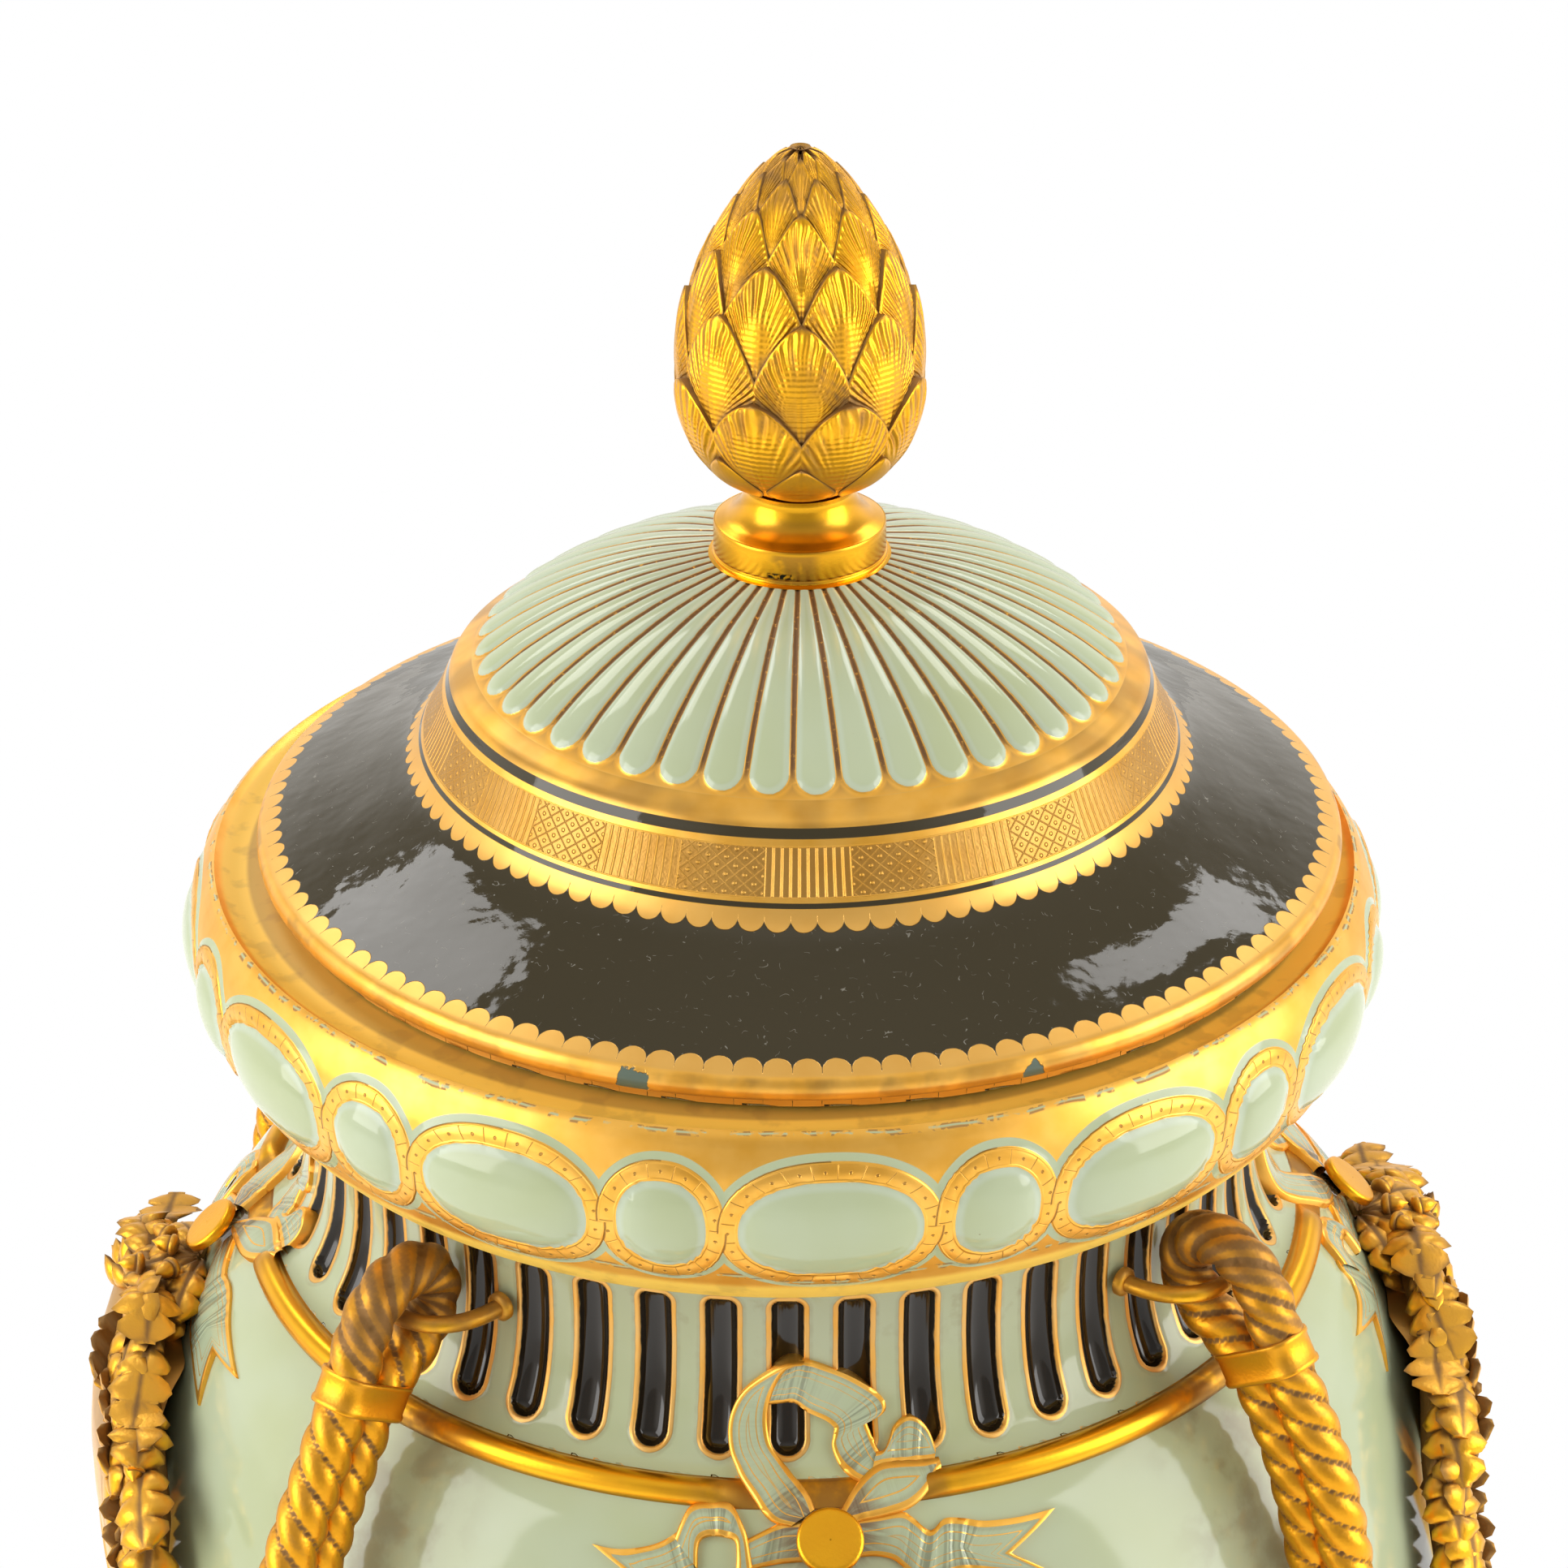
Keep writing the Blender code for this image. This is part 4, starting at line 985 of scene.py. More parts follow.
def rim_finish(paint, girth):
    """The burnished roll of the rim, with its two chips."""
    edge = girth.above(RIM_ROLL, 0.25)
    paint.tint(edge * paint.noise(9.0, 3.0).above(0.54, 0.08) * 0.35, PATINA)
    for azimuth, reach in RIM_CHIPS:
        aside = nearest(paint.azimuth, azimuth, 360.0) * (100.0 * DEGREE)
        away = length(aside, (paint.height - RIM_CHIP_LEVEL) * 0.9)
        chip = (away + (paint.noise(2.4, 4.0) - 0.5) * 4.0).below(reach, 0.12) * edge
        paint.lay(chip, CHIP_GREEN, 0.35, 0.0)
        paint.raise_by(chip * -0.3)


def lid_paint():
    paint = Paint("lid glazes and gilding", centre=LID_CENTRE)
    along = paint.value("along")
    girth = paint.value("girth")
    glaze_flaws(paint)
    dome_finish(paint, girth)
    moulding_finish(paint, along)
    band_finish(paint, along)
    brim_finish(paint, along, girth)
    rim_finish(paint, girth)
    return paint.done()


def bronze_paint(name, hollow, colour=GOLD, roughness=0.32, top_shade=0.0):
    """Gilt bronze: bright on what stands out, brown in the hollows, and tan as painted shade on what faces
    up.
    """
    paint = Paint(name, colour=colour, roughness=roughness, metal=1.0)
    patches = paint.noise(8.0, 3.0)
    fine = paint.noise(0.6, 3.0)
    paint.tint(patches.above(0.52, 0.2) * 0.5, DEEP_GOLD)
    if top_shade:
        # Painted shade: tan over what faces up, away from the side lights, but not on the bosses.
        upward_shade = (paint.facing_up() + (patches - 0.5) * 0.7).above(0.55, 0.35)
        paint.lay(upward_shade * paint.value("raised").below(1.5) * top_shade, TAN, 0.5, 0.5)
    # Brown by each finish's hollow measure: patina, with painted shade where that measure uses occlusion or
    # the front.
    shade = hollow(paint)
    mottled = (shade + (patches - 0.5) * 0.9).above(0.55, 0.32)
    paint.lay(mottled * 0.88, PATINA, 0.62, 0.6)
    paint.roughness = fine * 0.16 + (paint.roughness - 0.08)
    paint.raise_by(fine * 0.05)
    return paint


def bow_strokes(paint):
    """Brown brush strokes that fan out of the knot of each bow."""
    across = nearest(paint.azimuth, 0.0, 90.0) * 1.86
    up = (paint.height - BOSS_CENTRE[1] - 0.6) * 1.35
    away = length(across, up)
    angle = up.sum("ARCTAN2", across)
    streak = paint.rays(angle * 9.0, away * 0.12)
    return away.below(9.2, 3.0) * streak.above(0.44, 0.12)


def belly_paint():
    """Plain celadon, with brown brush strokes behind the bows, and soiling and painted shadow of the ropes
    in patches beside them.
    """
    paint = Paint("belly glaze")
    glaze_flaws(paint)
    paint.tint(bow_strokes(paint) * 0.8, GROOVE_BROWN)
    # Painted shadow cast by the ropes, with soiling, in patches beside them and fading lower down.
    dirt_and_shade = beside_ropes(paint, 9.0, 5.0) * paint.noise(9.0, 4.0).above(0.55, 0.09)
    dirt_and_shade = dirt_and_shade * paint.height.above(-120.0, 24.0)
    paint.tint(dirt_and_shade * 0.35, PATINA)
    return paint.done()


def bow_paint():
    """Celadon ribbon with gilt edges, a second fine line and hatching in its folds."""
    paint = Paint("ribbon glaze and gilding")
    glaze_flaws(paint)
    edge = paint.value("edge")
    fold = paint.value("fold")
    run = paint.value("run")
    hatch = paint.rays(run * 1.3, edge * 0.05).above(0.52, 0.07)
    paint.tint(1.0, RIBBON_CELADON)
    paint.tint(hatch * fold.above(0.3, 0.3) * 0.5, HATCH_GREEN)
    paint.tint(hatch * 0.06, GROOVE_BROWN)
    paint.tint(edge.within(0.9, 1.5, 0.3) * 0.22, GROOVE_BROWN)
    paint.tint(bow_strokes(paint) * 0.75, GROOVE_BROWN)
    inner = edge.within(2.1, 2.28, 0.08).most(edge.within(3.5, 3.66, 0.08) * 0.6)
    gilt(paint, edge.below(0.95).most(inner))
    return paint.done()


def tablet_paint():
    """Burnished gilding, duller towards the tablet's top, where tan is laid as painted shade."""
    paint = Paint("gilt tablet frame", colour=GOLD, roughness=0.26, metal=1.0)
    paint.tint(paint.noise(9.0, 3.0).above(0.52, 0.22) * 0.45, DEEP_GOLD)
    # Painted shade: the upper part, which faces up, is laid tan as if it mirrored the dark room.
    matt = (paint.height + (paint.noise(14.0, 2.0) - 0.5) * 8.0).above(-119.0, 6.0)
    paint.lay(matt * 0.85, TAN, 0.42, 0.7)
    rub = paint.noise(18.0, 3.0).above(0.58, 0.08)
    paint.tint(rub * 0.25, PATINA)
    paint.raise_by(paint.noise(0.8, 3.0) * 0.01)
    return paint.done()


def panel_paint():
    paint = Paint("pale tablet panel", colour=PANEL_CELADON, roughness=0.42)
    paint.tint(paint.noise(24.0, 2.0).above(0.5, 0.2) * 0.5, PANEL_SHADE)
    paint.raise_by(paint.noise(9.0, 1.0) * 0.05)
    return paint.done()


def cone_paint():
    """Gilt bronze, fluted and chased on each scale, and brown between the scales, partly as painted shade.
    """
    def hollow(paint):
        # Painted shade: browner at the front, away from the side lights, and between the scales by
        # occlusion; browner towards the crown too.
        front = paint.azimuth.near(0.0, 30.0, 26.0)
        crown = paint.height.above(119.0, 6.0) * 0.14
        return 0.62 - paint.value("raised") * 0.5 + front * 0.08 + crown + paint.crevice(3.0) * 0.9
    paint = bronze_paint("gilt pine cone", hollow)
    fluted = paint.value("fluted")
    fan = paint.value("fan")
    strokes = (fan * 60.0 + paint.noise(5.0, 1.0) * 5.0).sum("COSINE") * fluted
    chasing = (paint.height * 6.0).sum("SINE") * paint.value("edge").above(4.2, 1.2)
    paint.raise_by(strokes * 0.17 + chasing * 0.035)
    return paint.done()


def finial_base_paint():
    """Burnished round the foot, with brown reflections in the cove and one dark mark."""
    paint = Paint("gilt finial collar", centre=LID_CENTRE, colour=GOLD, roughness=0.22, metal=1.0)
    paint.tint(paint.noise(6.0, 3.0).above(0.52, 0.22) * 0.4, DEEP_GOLD)
    sides = abs(abs(paint.azimuth) - 90.0)
    cove = paint.height.within(58.8, 63.0, 0.7)
    brown = cove * sides.above(34.0, 30.0) * 0.3 + cove * sides.below(14.0, 10.0) * 0.2
    paint.tint(brown, PATINA)
    paint.dull(cove * 0.4, 0.34)
    # Painted reflection: dark brown patches on the front of the foot, which faces away from the lights.
    front = paint.azimuth.near(-8.0, 15.0, 5.0) * paint.noise(4.0, 3.0).above(0.44, 0.08)
    paint.tint(front * paint.height.within(53.0, 58.4, 0.3) * 0.55, GROOVE_BROWN)
    paint.tint(paint.height.near(53.8, 0.14, 0.12) * 0.5, GROOVE_BROWN)
    mark = paint.azimuth.near(-17.0, 9.0, 1.5) * paint.height.within(53.9, 54.9, 0.15)
    paint.tint(mark * paint.noise(1.0, 2.0).above(0.45, 0.04), MARK_BLACK)
    paint.raise_by(paint.noise(0.7, 3.0) * 0.008)
    return paint.done()


def rope_paint():
    """Gilt bronze, brown in the grooves between the strands and at the top loops."""
    def hollow(paint):
        strand = paint.value("strand")
        groove = strand.below(0.31, 0.22) * 0.7
        crest = strand.above(0.90, 0.10) * 0.25
        top = paint.height.above(-66.0, 9.0) * 0.5
        # The occlusion term adds painted shade.
        return groove + crest + top + paint.crevice(3.0) * 0.4 + 0.03
    return bronze_paint("laid gilt bronze", hollow, DEEP_GOLD, 0.38, top_shade=0.2).done()


def staple_paint():
    def hollow(paint):
        return paint.noise(5.0, 2.0) * 0.5 + 0.25
    return bronze_paint("gilt staple", hollow, roughness=0.3, top_shade=0.4).done()


def garland_paint():
    """Gilt bronze, brown between the leaves, partly as painted shade from occlusion, and tan on top of them
    as painted shade.
    """
    def hollow(paint):
        raised = paint.value("raised")
        return 1.05 - raised * 0.95 + paint.crevice(5.0) * 0.6 - raised.above(1.4, 0.2) * 0.9
    return bronze_paint("cast oak leaves", hollow, GOLD, 0.34, top_shade=0.35).done()


def plinth_paint():
    paint = Paint("gilt plinth")
    gilt(paint, 1.0, GOLD, 0.26)
    paint.tint(paint.noise(22.0, 3.0).above(0.56, 0.1) * 0.35, PATINA)
    return paint.done()


# ---------------------------------------------------------------- porcelain body

def lift_from(outline_points, lift):
    """Moves rows of a turned surface out along the normals of their outline."""
    slope = np.gradient(outline_points, axis=0)
    normal = unit(np.stack([-slope[:, 1], slope[:, 0]], -1))
    radius = outline_points[:, :1] + normal[:, :1] * lift
    height = outline_points[:, 1:] + normal[:, 1:] * lift
    return radius, height


def collar_relief(azimuth, height):
    """Rise of the cabochons and their frames over the collar's outline."""
    lift = 0.0
    distance = 99.0
    for phase, shape, rise in ((0.0, OVAL, OVAL_RISE), (CABOCHON_PITCH / 2, ROUND, ROUND_RISE)):
        share, outside = cabochon_field(azimuth, height, phase, shape)
        inside = np.clip(share, 0.0, 1.0)
        lift = lift + np.where(outside < 0.0, rise * (1.0 - inside ** 2.2) ** 0.62, 0.0)
        distance = np.minimum(distance, outside)
    frame_lift = FRAME_RISE * smoothstep(-0.1, 0.7, distance) * (1.0 - smoothstep(
        FRAME_WIDTH - 0.6, FRAME_WIDTH + 0.4, distance))
    return lift + frame_lift


def collar():
    """The ledge, the rolled edge and the cabochons with their frames."""
    ledge = evenly_spaced(smooth_curve(LEDGE_OUTLINE + COLLAR_OUTLINE[:1], 6), 1.6)
    lower = evenly_spaced(smooth_curve(COLLAR_OUTLINE, 6), 1.0)
    outline = np.vstack([ledge[:-1], lower])
    azimuth = all_round(COLLAR_COLUMNS)
    radius, height = lift_from(outline, 0.0)
    relief = collar_relief(azimuth[None, :], height) * (height < -9.0) * (height > -39.0)
    radius, height = lift_from(outline, relief)
    shell = Shell()
    shell.patch(around(azimuth[None, :], radius, height), closed=True, level=outline[:, 1:])
    return shell.finish("urn_collar", [collar_paint()], "celadon_porcelain", ["urn_body"])


def neck():
    """The neck with its sunk flutes, in narrow columns at their edges, and the shoulder ring."""
    half_columns = [0.0, 0.45, 0.9, 1.3, 1.6, 1.78, 1.9, 2.05, 2.5, 3.1]
    pitch = sorted({-c for c in half_columns} | set(half_columns) | {-3.75})
    azimuth = (np.array(pitch)[None, :] + 7.5 * np.arange(FLUTES)[:, None] + 3.75).ravel()
    upper = evenly_spaced(smooth_curve(NECK_OUTLINE, 8), 0.42)
    fine = (upper[:, 1] < -73.5) | (np.abs(upper[:, 1] - FLUTE_TOP) < 2.6)
    outline = upper[fine | (np.arange(len(upper)) % 5 == 0)]
    radius, height = lift_from(outline, 0.0)
    distance, half = flute_field(azimuth[None, :], height, radius)
    share = np.clip((distance + half) / half, 0.0, 1.0)
    depth = FLUTE_DEPTH * np.sqrt(1.0 - share ** 2)
    lip = 0.25 * bump(distance - 0.5, 0.5)
    radius, height = lift_from(outline, lip - depth)
    shell = Shell()
    shell.patch(around(azimuth[None, :], radius, height), closed=True,
                level=outline[:, 1:], girth=outline[:, :1])
    shoulder_ring(shell)
    return shell.finish("urn_neck", [neck_paint(), ring_paint()], "celadon_porcelain", ["urn_body"])


def shoulder_ring(shell):
    """The half-round gilt ring, which sinks into the porcelain under the bows."""
    azimuth = all_round(288)
    section = np.linspace(172.0, 8.0, 13)
    turns = np.radians(section)
    tangent = RING_SLOPE
    normal = (-tangent[1], tangent[0])
    rise = 0.12 + 0.88 * smoothstep(8.0, 11.5, np.abs(nearest(azimuth, 0.0, 90.0)))
    along = np.cos(turns)[:, None] * RING_RADIUS
    out = np.sin(turns)[:, None] * RING_RADIUS * rise[None, :]
    radius = RING_CENTRE[0] + along * tangent[0] + out * normal[0]
    height = RING_CENTRE[1] + along * tangent[1] + out * normal[1]
    start, end = (around(azimuth, *point)[None] for point in (NECK_OUTLINE[-1], BELLY_OUTLINE[0]))
    rows = np.concatenate([start, around(azimuth[None, :], radius, height), end])
    spent = (section[0] - section) / 180.0 * math.pi * RING_RADIUS
    shell.patch(rows, closed=True, surface=1, along=np.concatenate([[0.0], spent + 0.4, [9.0]])[:, None])


def belly():
    """The belly's outside, and the hollow inside down from the collar's seat."""
    shell = Shell()
    outer = evenly_spaced(smooth_curve(BELLY_OUTLINE, 6), 3.6)
    shell.turned(np.vstack([outer, [(0.02, BODY_BOTTOM)]]), 216)
    shell.turned(evenly_spaced(smooth_curve(INNER_OUTLINE, 4), 9.0), 96, flip=True)
    return shell.finish("urn_belly", [belly_paint()], "celadon_porcelain", ["urn_body"])


# ---------------------------------------------------------------- bows

def on_shoulder(azimuth, height, lift):
    """Points over the neck and shoulder, lifted off them along their slope."""
    line = evenly_spaced(smooth_curve(NECK_OUTLINE[2:] + BELLY_OUTLINE[:8], 6), 0.5)
    slope = unit(np.gradient(line, axis=0))
    wanted = -np.asarray(height, float)
    radius = np.interp(wanted, -line[:, 1], line[:, 0])
    out = unit(np.stack([np.interp(wanted, -line[:, 1], -slope[:, 1]),
                         np.interp(wanted, -line[:, 1], slope[:, 0])], -1))
    return around(azimuth, radius + out[..., 0] * lift, height + out[..., 1] * lift)


def ribbon(shell, quarter, pairs, lift, folds, fork=None):
    """A ribbon between two edges, given as pairs of points, with gilt beads and skirts down to the body."""
    spine = smooth_curve(pairs, 7)
    middle = 0.5 * (spine[:, :2] + spine[:, 2:]) * np.array([SHOULDER_ARC, 1.1])
    length_along = lengths_along(middle)
    total = length_along[-1]
    stations = np.linspace(0.0, total, max(16, round(total / RIBBON_STEP)))
    spine = np.stack([np.interp(stations, length_along, spine[:, k]) for k in range(4)], -1)
    t = np.concatenate([[0.0], np.linspace(0.0, 1.0, 17), [1.0]])[None, :]
    s = (stations / total)[:, None]
    azimuth = spine[:, None, 0] * (1 - t) + spine[:, None, 2] * t
    height = spine[:, None, 1] * (1 - t) + spine[:, None, 3] * t
    width = np.hypot((spine[:, 0] - spine[:, 2]) * SHOULDER_ARC, (spine[:, 1] - spine[:, 3]) * 1.2)[:, None]
    edge = np.minimum(t, 1.0 - t) * width
    if fork:
        cut = (1.0 - np.abs(2.0 * t - 1.0)) * smoothstep(0.45, 1.0, s)
        azimuth = azimuth + fork[0] * cut
        height = height + fork[1] * cut
        edge = np.minimum(edge, (total - stations)[:, None] * 0.8)
    bead = BEAD_RISE * bump(edge - BEAD_PLACE, BEAD_PLACE)
    fold = sum(bump(stations - place * total, FOLD_REACH) for place in folds)[:, None]
    arched = 4 * t * (1 - t)
    pleats = 0.22 * fold * np.sin(stations[:, None] * 2.2) * arched ** 0.5
    rise = lift + bead + RIBBON_CROWN * arched + pleats
    rise[:, [0, -1]] = SKIRT
    grids = [azimuth, height, rise, edge, fold + 0.0 * edge, stations[:, None] + 0.0 * edge]
    if fork:
        grids = [np.vstack([grid, grid[-1:]]) for grid in grids]
        grids[2][-1] = SKIRT
    azimuth, height, rise, edge, fold, run = grids
    points = on_shoulder(quarter + azimuth, height, rise)
    shell.patch(points, flip=first_edge_left(spine), edge=edge, fold=fold, run=run)


def first_edge_left(spine):
    """True where a ribbon's first edge lies on the left of its way, seen from outside."""
    way = 0.5 * (spine[-1] + spine[-1, [2, 3, 0, 1]] - spine[0] - spine[0, [2, 3, 0, 1]])
    across = (spine[:, 2:] - spine[:, :2]).mean(axis=0)
    return bool(way[0] * across[1] - way[1] * across[0] < 0.0)


# The edges of each ribbon of a bow, side by side: azimuth and height of one, then of the other.
LEFT_LOOP = [
    (-1.9, -62.1, -2.4, -62.9), (-3.8, -62.4, -3.6, -63.3), (-5.7, -64.0, -4.6, -65.3),
    (-8.7, -68.1, -5.6, -69.0), (-10.1, -73.0, -6.0, -73.0), (-10.0, -77.8, -5.6, -77.0),
    (-8.9, -80.9, -4.5, -79.4), (-7.2, -83.3, -3.5, -80.8), (-5.5, -85.6, -1.8, -83.0),
    (-3.5, -86.4, -1.2, -84.6),
]
RIGHT_SWEEP = [
    (-4.9, -64.4, -6.2, -70.6), (-3.2, -62.6, -4.6, -70.3), (-1.9, -62.1, -3.1, -70.2),
    (0.4, -63.4, -1.6, -71.9), (3.4, -65.8, 0.3, -73.4), (6.4, -69.5, 1.2, -74.6),
    (7.1, -72.0, 1.25, -75.4), (6.2, -73.5, 1.1, -76.4), (4.9, -73.8, 0.95, -77.7),
    (5.2, -75.9, 1.5, -79.9), (5.9, -78.7, 2.7, -81.4), (7.2, -80.6, 4.6, -82.4),
]
RIGHT_FAN = [
    (5.6, -78.9, 4.9, -81.0), (6.5, -78.7, 5.6, -80.8), (7.2, -77.2, 6.4, -80.8),
    (7.8, -75.4, 7.3, -80.8), (9.2, -73.9, 8.4, -80.9), (10.6, -74.6, 9.6, -80.9),
    (11.6, -77.0, 10.6, -81.0), (11.9, -79.6, 11.4, -81.0),
]
RIGHT_BAND = [
    (1.2, -84.9, 1.8, -86.4), (2.9, -82.5, 3.6, -86.0), (5.3, -80.6, 6.0, -85.6),
    (7.5, -80.4, 8.2, -85.0), (9.8, -80.6, 10.2, -83.6), (11.9, -80.6, 11.9, -81.8),
]
RIGHT_TAIL = [
    (1.9, -85.6, 1.7, -90.9), (4.8, -85.5, 3.9, -90.7), (7.1, -85.4, 5.7, -91.4),
    (8.1, -86.2, 6.8, -92.9), (9.6, -88.1, 8.2, -95.0), (11.1, -86.9, 10.2, -94.6),
    (12.8, -87.2, 12.2, -94.4), (15.0, -88.1, 14.6, -95.2), (18.5, -88.6, 17.8, -96.6),
    (22.0, -88.7, 20.6, -97.8),
]
LEFT_TAIL = [
    (-2.2, -85.7, -2.0, -91.0), (-4.1, -85.8, -4.6, -91.3), (-5.8, -86.7, -6.6, -92.0),
    (-7.6, -88.0, -8.4, -92.8),
]
LEFT_ARCH = [
    (-7.0, -91.8, -8.5, -92.5), (-7.4, -88.6, -8.5, -90.2), (-7.9, -86.6, -8.7, -88.4),
    (-9.3, -84.1, -9.6, -87.9), (-11.6, -84.0, -10.8, -87.8), (-13.2, -84.6, -11.8, -88.3),
    (-13.9, -86.4, -12.1, -89.6), (-14.3, -88.4, -12.0, -92.4),
]
LEFT_POINT = [
    (-13.6, -86.9, -12.0, -93.5), (-15.5, -89.1, -14.0, -95.2), (-17.6, -90.4, -16.4, -97.2),
    (-19.8, -91.1, -18.6, -99.0), (-22.0, -91.0, -20.0, -100.6),
]
SIDE_RIGHT_TAIL = [
    (1.9, -85.6, 1.7, -90.9), (4.0, -87.2, 3.2, -93.2), (6.8, -88.9, 4.8, -96.4),
    (9.2, -88.6, 5.8, -99.4), (11.4, -89.2, 8.0, -100.9), (14.2, -91.2, 10.9, -101.8),
    (17.4, -93.0, 13.8, -103.2), (20.9, -94.8, 16.6, -104.8),
]
SIDE_LEFT_POINT = [
    (-12.6, -86.2, -8.8, -95.4), (-14.6, -88.1, -10.4, -97.8), (-14.4, -91.2, -12.0, -99.6),
    (-15.6, -93.6, -13.8, -101.4), (-18.0, -94.8, -15.4, -103.6), (-20.5, -95.7, -17.7, -106.5),
]


# One row for each ribbon: its edges, its lift, its folds, and the shift of its cut end, across and up.
FRONT_TAILS = [(RIGHT_TAIL, 0.5, (0.32, 0.40, 0.52, 0.6), (-4.6, 0.0)),
               (LEFT_POINT, 0.4, (0.1,), (4.6, 0.0))]
SIDE_TAILS = [(SIDE_RIGHT_TAIL, 0.5, (0.30, 0.40, 0.5, 0.6), (-3.9, 3.9)),
              (SIDE_LEFT_POINT, 0.4, (0.1, 0.3), (4.4, 2.6))]
LOOPS = [(LEFT_TAIL, 0.6, (0.5,)), (LEFT_ARCH, 1.0, (0.45, 0.6)),
         (RIGHT_SWEEP, 0.8, (0.08, 0.2, 0.6, 0.85)), (RIGHT_FAN, 1.1, (0.4, 0.7)),
         (LEFT_LOOP, 1.2, (0.9,)), (RIGHT_BAND, 1.3, (0.15, 0.9))]


def bow(name, quarter):
    """A modelled ribbon bow with gilt edges: two loops, a folded band and two forked tails."""
    shell = Shell()
    for row in (SIDE_TAILS if quarter else FRONT_TAILS) + LOOPS:
        ribbon(shell, quarter, *row)
    return shell.finish(name, [bow_paint()], "celadon_porcelain", ["urn_body"], sharp=70.0)


# ---------------------------------------------------------------- tablets

def rounded_edge(half_width, top, bottom, corner, inset, count):
    """Points of a rounded rectangle, counterclockwise from its foot, drawn in by some millimetres."""
    reach = max(corner - inset, 0.5)
    side = half_width - inset - reach
    upper = top - inset - reach
    lower = bottom + inset + reach
    arcs = []
    corners = ((side, lower, -90.0), (side, upper, 0.0), (-side, upper, 90.0), (-side, lower, 180.0))
    for x, z, start in corners:
        turn = np.radians(np.linspace(start, start + 90.0, 13))
        arcs.append(np.stack([x + reach * np.cos(turn), z + reach * np.sin(turn)], -1))
    line = np.vstack(arcs + [arcs[0][:1]])
    return resample(line, np.arange(count) * lengths_along(line)[-1] / count)


def on_tablet(quarter, flat, lift):
    """Points over the tablet's curved face, from places across it and heights."""
    radius = level_radius(smooth_curve(TABLET_OUTLINE, 6), flat[..., 1]) + lift - TABLET_SHRINK
    return around(quarter + flat[..., 0] / TABLET_ARC, radius, flat[..., 1])


def tablet(name, quarter):
    """A raised gilded tablet with a sunk, bare panel low on it."""
    def rows_of(half_width, top, bottom, corner, steps):
        return [(rounded_edge(half_width, top, bottom, corner, inset, TABLET_COLUMNS), lift)
                for inset, lift in steps]

    outer = rows_of(TABLET_HALF_WIDTH, TABLET_TOP, TABLET_BOTTOM, TABLET_CORNER, TABLET_EDGE)
    panel = rows_of(PANEL_HALF_WIDTH, PANEL_TOP, PANEL_BOTTOM, PANEL_CORNER, PANEL_EDGE)
    between = [(outer[-1][0] * (1 - share) + panel[0][0] * share, 0.0) for share in (0.25, 0.5, 0.75)]
    frame = [on_tablet(quarter, flat, lift) for flat, lift in outer + between + panel]
    centre = np.array([0.0, 0.5 * (PANEL_TOP + PANEL_BOTTOM)])
    sunk = [on_tablet(quarter, centre + (panel[-1][0] - centre) * share, -TABLET_RECESS)
            for share in (0.86, 0.7, 0.5, 0.3, 0.12, 0.0)]
    shell = Shell()
    shell.patch(np.array(frame[:-1]), closed=True)
    shell.patch(np.array(frame[-2:] + sunk), closed=True, surface=1)
    paints = [tablet_paint(), panel_paint()]
    return shell.finish(name, paints, "burnished_gilding", ["urn_body"], sharp=60.0)


# ---------------------------------------------------------------- lid

def lid():
    """The lobed dome in fine rows, the plainer rings and brim in coarse ones, and the underside."""
    azimuth = all_round(LID_COLUMNS)
    outline = smooth_curve(LID_OUTLINE, 8)
    along = lengths_along(outline)
    lobe_rows = lid_place(52.0)
    dome_end = lid_place(60.6)
    places = np.concatenate([np.arange(0.0, lobe_rows, 1.5), np.arange(lobe_rows, dome_end, 0.48),
                             [dome_end]])
    dome = resample(outline, places)
    radius, height = lift_from(dome, 0.0)
    distance, half = lobe_field(azimuth[None, :], radius)
    share = np.clip((distance + half) / half, 0.0, 1.0)
    groove = 0.25 * smoothstep(0.0, 0.5, distance) * (radius < LOBE_END)
    radius, height = lift_from(dome, LOBE_RISE * half * np.sqrt(1.0 - share ** 2) - groove)
    shell = Shell()
    shell.patch(around(azimuth[None, :], radius, height), closed=True,
                along=places[:, None], girth=dome[:, :1])
    rest = np.concatenate([np.arange(dome_end, along[-1], 0.9), along[-1:]])
    brim = resample(outline, rest)
    shell.patch(around(azimuth[None, ::4], brim[:, :1], brim[:, 1:]), closed=True, along=rest[:, None],
                girth=brim[:, :1])
    shell.turned(np.array(LID_UNDERSIDE), 132, surface=1)
    paints = [lid_paint(), celadon_paint()]
    return shell.finish("lid_shell", paints, "dark_glaze", ["lid"], centre=LID_CENTRE, sharp=40.0)


# ---------------------------------------------------------------- finial

def cone_radius(height):
    """Radius of the cone's core at a height."""
    radii, heights = smooth_curve(CONE_OUTLINE, 6).T
    return np.interp(height, heights, radii)


def scale_outline(share, widest, pointed):
    """Width of a scale for a share of its length: it swells out of its foot and closes in a blunt point."""
    beyond = np.clip((share - widest) / (1.0 - widest), 0.0, 1.0)
    rounded = (1.0 - pointed) * np.sqrt(1.0 - beyond ** 2) + pointed * (1.0 - beyond)
    swelling = 0.42 + 0.58 * np.sin(0.5 * np.pi * np.clip(share / widest, 0.0, 1.0)) ** 0.9
    return np.where(share < widest, swelling, rounded)


